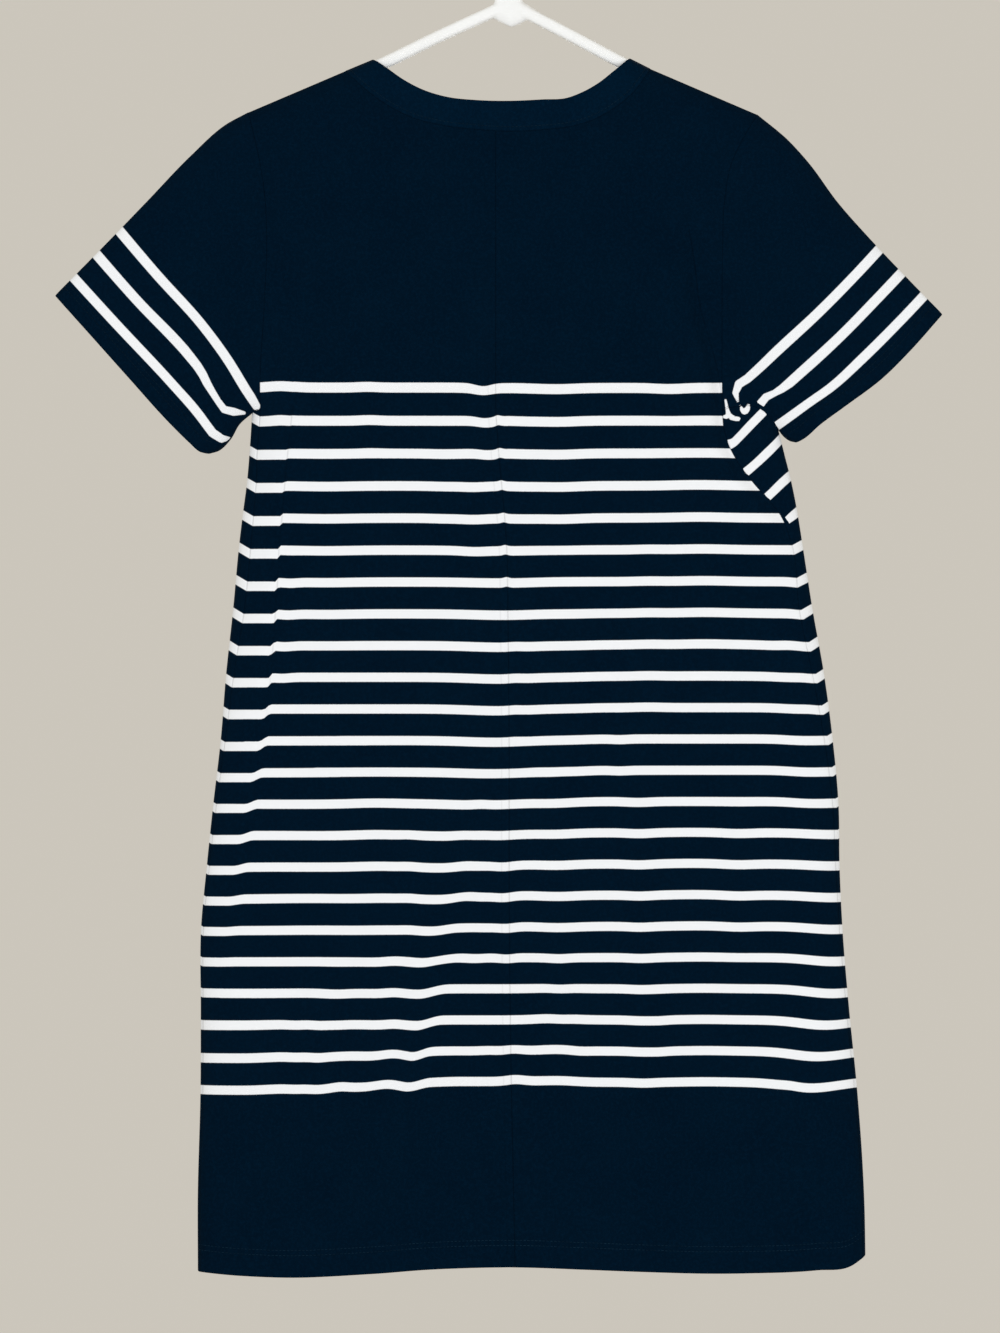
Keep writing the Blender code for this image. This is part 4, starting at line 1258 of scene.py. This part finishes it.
hanger = {
    "tube": 4.65,              # half its thickness
    "sides": 24,               # corners around the tube
    "sectionPower": 3.0,       # 2 would be a round tube; more is flatter in front
    "belowRidge": 6.5,         # the arms' middle line below the dress's shoulder line
    "barDrop": 77.0,           # drop of the lower bar
    "inset": {"left": 7.0, "right": 5.0},    # from the shoulder's end to the arm's bend
    "bend": ((7.0, 5.2, 0.0), (10.5, 0.0, 0.5), (5.0, -3.2, 1.0), (-5.0, 0.0, 1.0)),
    "hub": (0.4, -34.5),
    "apex": (2.7, -41.5),
    "lift": {"left": 0.0, "right": 1.0},    # how far the middle of each arm bows up
    "hubTube": 4.8,            # the arms are a little thicker at the hub,
    "hubReach": 70,            # up to this far from it
    "neckRise": 6.0,
    "neckBend": (5.5, -2.0),
    "neckEnd": (-2.2, 2.8),
    "hookRadius": 21.0,
    "hookInside": 17.0,
    "tipAngle": 205.0,
    "neckAngle": -38.0,
    "neckBase": 10.6,          # half the neck's width at the hub
    "neckFlare": (0.06, 0.18), # share of the hook where it narrows, and over what share
    "neckPoints": 28,
    "neckDepth": 4.6,          # half the neck's thickness from front to back
    "boss": (20.5, 5.1, 11.6), # half sizes of the swelling at the hub
    "bossCentre": (4.2, -35.4),
    "bossPower": 1.15,         # 2 would be round and 1 pointed
    "voxel": 0.66,             # size of the faces after the parts are melted into one
    "smoothing": 22,
    "jointWidth": 0.3,         # of the faint line where the mould closed
    "colours": ((0.835, 0.83, 0.80, 1), (0.865, 0.86, 0.83, 1)),
    "cloudy": (22.0, 2.0),     # scale and detail of each noise
    "fine": (2600.0, 1.0),
    "scuffs": (160.0, 3.0),
}


def plasticFinish(name):
    finish = Finish(name, Roughness=0.4, Specular_IOR_Level=0.18, IOR=1.49,
                    Subsurface_Weight=0.5, Subsurface_Scale=0.003,
                    Subsurface_Radius=(1.0, 1.0, 1.0))
    place = finish.place()
    cloudy, fine, scuffs = (noise(finish, place, *hanger[kind])
                            for kind in ("cloudy", "fine", "scuffs"))
    finish.feed("Base Color", finish.mix(cloudy, *hanger["colours"]))
    finish.feed("Roughness", (0.34 + cloudy * 0.08 + (scuffs - 0.55).held(0, 1) * 0.6).held(0, 1))
    across = finish.apart(place)[1]
    joint = (1 - abs(across) / (hanger["jointWidth"] * mm)).held(0, 1)
    finish.bump(0.25, 0.06, joint + fine * 0.03)
    return finish.material


def armRoute(side):
    sign = -1 if side == "left" else 1
    below = np.array([0, hanger["belowRidge"]])
    neck = shape["neckPoint"][side] + below
    corner = shape["bandCorner"][side] + below
    end = shape["shoulderEnd"][side] + below
    reach = end + (corner - end) * (hanger["inset"][side] / abs(corner[0] - end[0]))
    apex = np.array(hanger["apex"])
    middle = np.array([neck[0], apex[1] + neck[1] - 2 * hanger["lift"][side]]) / 2
    arm = sampled(curve(apex, middle, neck, corner, reach), 90)
    x, drop = reach
    turn = [(x + sign * out, drop + (hanger["barDrop"] - drop) * share + lower)
            for out, lower, share in hanger["bend"]]
    return np.vstack([arm, sampled(curve(reach, *turn), 60)[1:]])


def hookRoute():
    centreDrop = neckPointZ + hanger["hookInside"]
    angles = np.radians(np.linspace(hanger["neckAngle"], hanger["tipAngle"], 60))
    circle = paired(hanger["hookRadius"] * np.cos(angles),
                    centreDrop - hanger["hookRadius"] * np.sin(angles))
    start, apex = circle[0], hanger["apex"]
    bendPoint = (hanger["neckBend"][0], (apex[1] + start[1]) / 2 + hanger["neckBend"][1])
    neck = sampled(curve(hanger["hub"], (apex[0], apex[1] - hanger["neckRise"]), bendPoint,
                         start + np.array(hanger["neckEnd"]), start), hanger["neckPoints"])
    return np.vstack([neck[:-1], circle])


def addTube(name, route, radii, closed):
    bpy.ops.object.select_all(action="DESELECT")
    bpy.ops.curve.primitive_nurbs_path_add()
    tube = bpy.context.object
    tube.name = name
    tube.data.splines.clear()
    line = tube.data.splines.new("POLY")
    line.points.add(len(route) - 1)
    for point, (x, drop), radius in zip(line.points, route, radii):
        point.co = (*inSpace(x, drop), 1)
        point.radius = radius / hanger["tube"]
    line.use_cyclic_u = closed
    tube.data.dimensions = "3D"
    tube.data.bevel_depth = hanger["tube"] * mm
    tube.data.bevel_resolution = hanger["sides"] // 2 - 2
    tube.data.use_fill_caps = not closed
    chooseOnly(tube)
    bpy.ops.object.convert(target="MESH")
    tube = bpy.context.object
    places = np.zeros(len(tube.data.vertices) * 3)
    tube.data.vertices.foreach_get("co", places)
    rings = places.reshape(-1, hanger["sides"], 3)
    centres = rings.mean(axis=1, keepdims=True)
    out = rings - centres
    reach = np.linalg.norm(out, axis=2, keepdims=True)
    deep = np.clip(abs(out[..., 1:2]) / reach, 0, 1)
    power = hanger["sectionPower"]
    out *= (deep**power + (1 - deep * deep) ** (power / 2)) ** (-1 / power)    # flatter in front
    tube.data.vertices.foreach_set("co", (centres + out).ravel())
    tube.data.update()
    return tube


def addBall(segments, rings, radius):
    bpy.ops.mesh.primitive_uv_sphere_add(segments=segments, ring_count=rings, radius=radius)
    return bpy.context.object


def makeHanger():
    left, right = armRoute("left"), armRoute("right")
    loop = np.vstack([left, right[::-1][:-1]])
    fromHub = np.linalg.norm(loop - np.array(hanger["apex"]), axis=1)
    swelling = smoothly(1 - fromHub / hanger["hubReach"])
    radii = hanger["tube"] + (hanger["hubTube"] - hanger["tube"]) * swelling
    tube = addTube("dressHanger", loop, radii, True)
    route = hookRoute()
    narrowing = fading(np.linspace(0, 1, len(route)), *hanger["neckFlare"])
    wide = hanger["neckBase"] + (hanger["tube"] - hanger["neckBase"]) * narrowing
    hook = addTube("hook", route, wide, False)
    count = hanger["neckPoints"] + 2
    heights = [inSpace(x, drop)[2] for x, drop in route[:count]]
    for vertex in hook.data.vertices:      # the neck is broad and flat where it leaves the hub
        if vertex.co.z < heights[-1]:
            reach = np.interp(vertex.co.z, heights, wide[:count])
            vertex.co.y *= min(1.0, hanger["neckDepth"] / reach)
    boss = addBall(48, 28, mm)
    power = hanger["bossPower"]
    for vertex in boss.data.vertices:
        wide, high = (abs(part / mm) ** power for part in (vertex.co.x, vertex.co.z))
        reach = math.hypot(vertex.co.x, vertex.co.z) / mm
        share = reach / max((wide + high) ** (1 / power), 1e-6)
        vertex.co.x *= share
        vertex.co.z *= share
    move = bpy.ops.transform.translate
    reshape(boss, (bpy.ops.transform.resize, {"value": hanger["boss"]}),
            (move, {"value": inSpace(*hanger["bossCentre"])}))
    tip = addBall(32, 20, hanger["tube"] * mm)
    reshape(tip, (move, {"value": inSpace(*route[-1])}))
    chooseOnly(tube, hook, boss, tip)
    bpy.ops.object.join()
    applied(tube, "REMESH", mode="VOXEL", voxel_size=hanger["voxel"] * mm)
    applied(tube, "SMOOTH", factor=0.5, iterations=hanger["smoothing"])
    bpy.ops.object.shade_smooth()
    tube.data.materials.clear()
    tube.data.materials.append(plasticFinish("whitePlastic"))
    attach(tube, "root")
    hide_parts("hanger")
    print("made the hanger:", len(tube.data.polygons), "faces")


makeHanger()

studio = {
    "floorZ": -2.0,
    "floorReach": 9.0,
    "floorColours": ((0.56, 0.53, 0.47, 1), (0.60, 0.565, 0.50, 1)),    # near and far
    "floorFade": (2.0, 5.0),   # from what distance it fades out, and over what length
    "distance": 7.0075,        # of the camera
    "aim": (-0.0045, -0.005, -0.564),
    "lens": 250.0,
    "air": (0.60, 0.565, 0.50, 1),
    "airStrength": 1.0,
    "lights": (                # name, place, size, power, colour
        ("keyLight", (-2.5, -3.7, 0.25), 2.4, 90, (0.80, 0.87, 1.0)),
        ("fillLight", (2.6, -3.5, -1.15), 1.8, 81, (0.80, 0.87, 1.0)),
        ("backLight", (0.8, 3.4, -0.3), 2.8, 40, (0.80, 0.87, 1.0)),
    ),
}


def makeStudio():
    bpy.ops.object.select_all(action="DESELECT")
    bpy.ops.mesh.primitive_circle_add(vertices=96, radius=studio["floorReach"],
                                      fill_type="NGON", location=(0, 0, studio["floorZ"]))
    floor = bpy.context.object
    floor.name = "floor"
    paint = Finish("paleFloor", Roughness=0.9, Specular_IOR_Level=0.2)
    far = paint.node("ShaderNodeVectorMath", {"operation": "LENGTH"}, {0: paint.place()}, 1)
    paint.feed("Base Color", paint.mix((far / 6.0).held(0, 1), *studio["floorColours"]))
    begins, span = studio["floorFade"]
    paint.feed("Alpha", (1 - (far - begins) / span).held(0, 1))
    floor.data.materials.append(paint.material)

    world = bpy.data.worlds.new("studioAir")
    bpy.context.scene.world = world
    world.use_nodes = True
    air = world.node_tree.nodes["Background"]
    air.inputs["Color"].default_value = studio["air"]
    air.inputs["Strength"].default_value = studio["airStrength"]

    for name, place, size, power, colour in studio["lights"]:
        bpy.ops.object.light_add(type="AREA", location=place)
        light = bpy.context.object
        light.name = name
        light.data.size = size
        light.data.energy = power
        light.data.color = colour
        light.visible_camera = False
        aim = np.array(studio["aim"]) - np.array(place)
        light.rotation_euler = (math.acos(-aim[2] / np.linalg.norm(aim)), 0,
                                math.atan2(-aim[0], aim[1]))

    x, y, z = studio["aim"]
    bpy.ops.object.camera_add(location=(x, y - studio["distance"], z),
                              rotation=(math.pi / 2, 0, 0))
    camera = bpy.context.object
    camera.data.lens = studio["lens"]
    camera.data.sensor_width = 36
    camera.data.clip_start = 0.01
    bpy.context.scene.camera = camera
    bpy.context.scene.view_settings.view_transform = "Standard"


makeStudio()
print("studio ready")
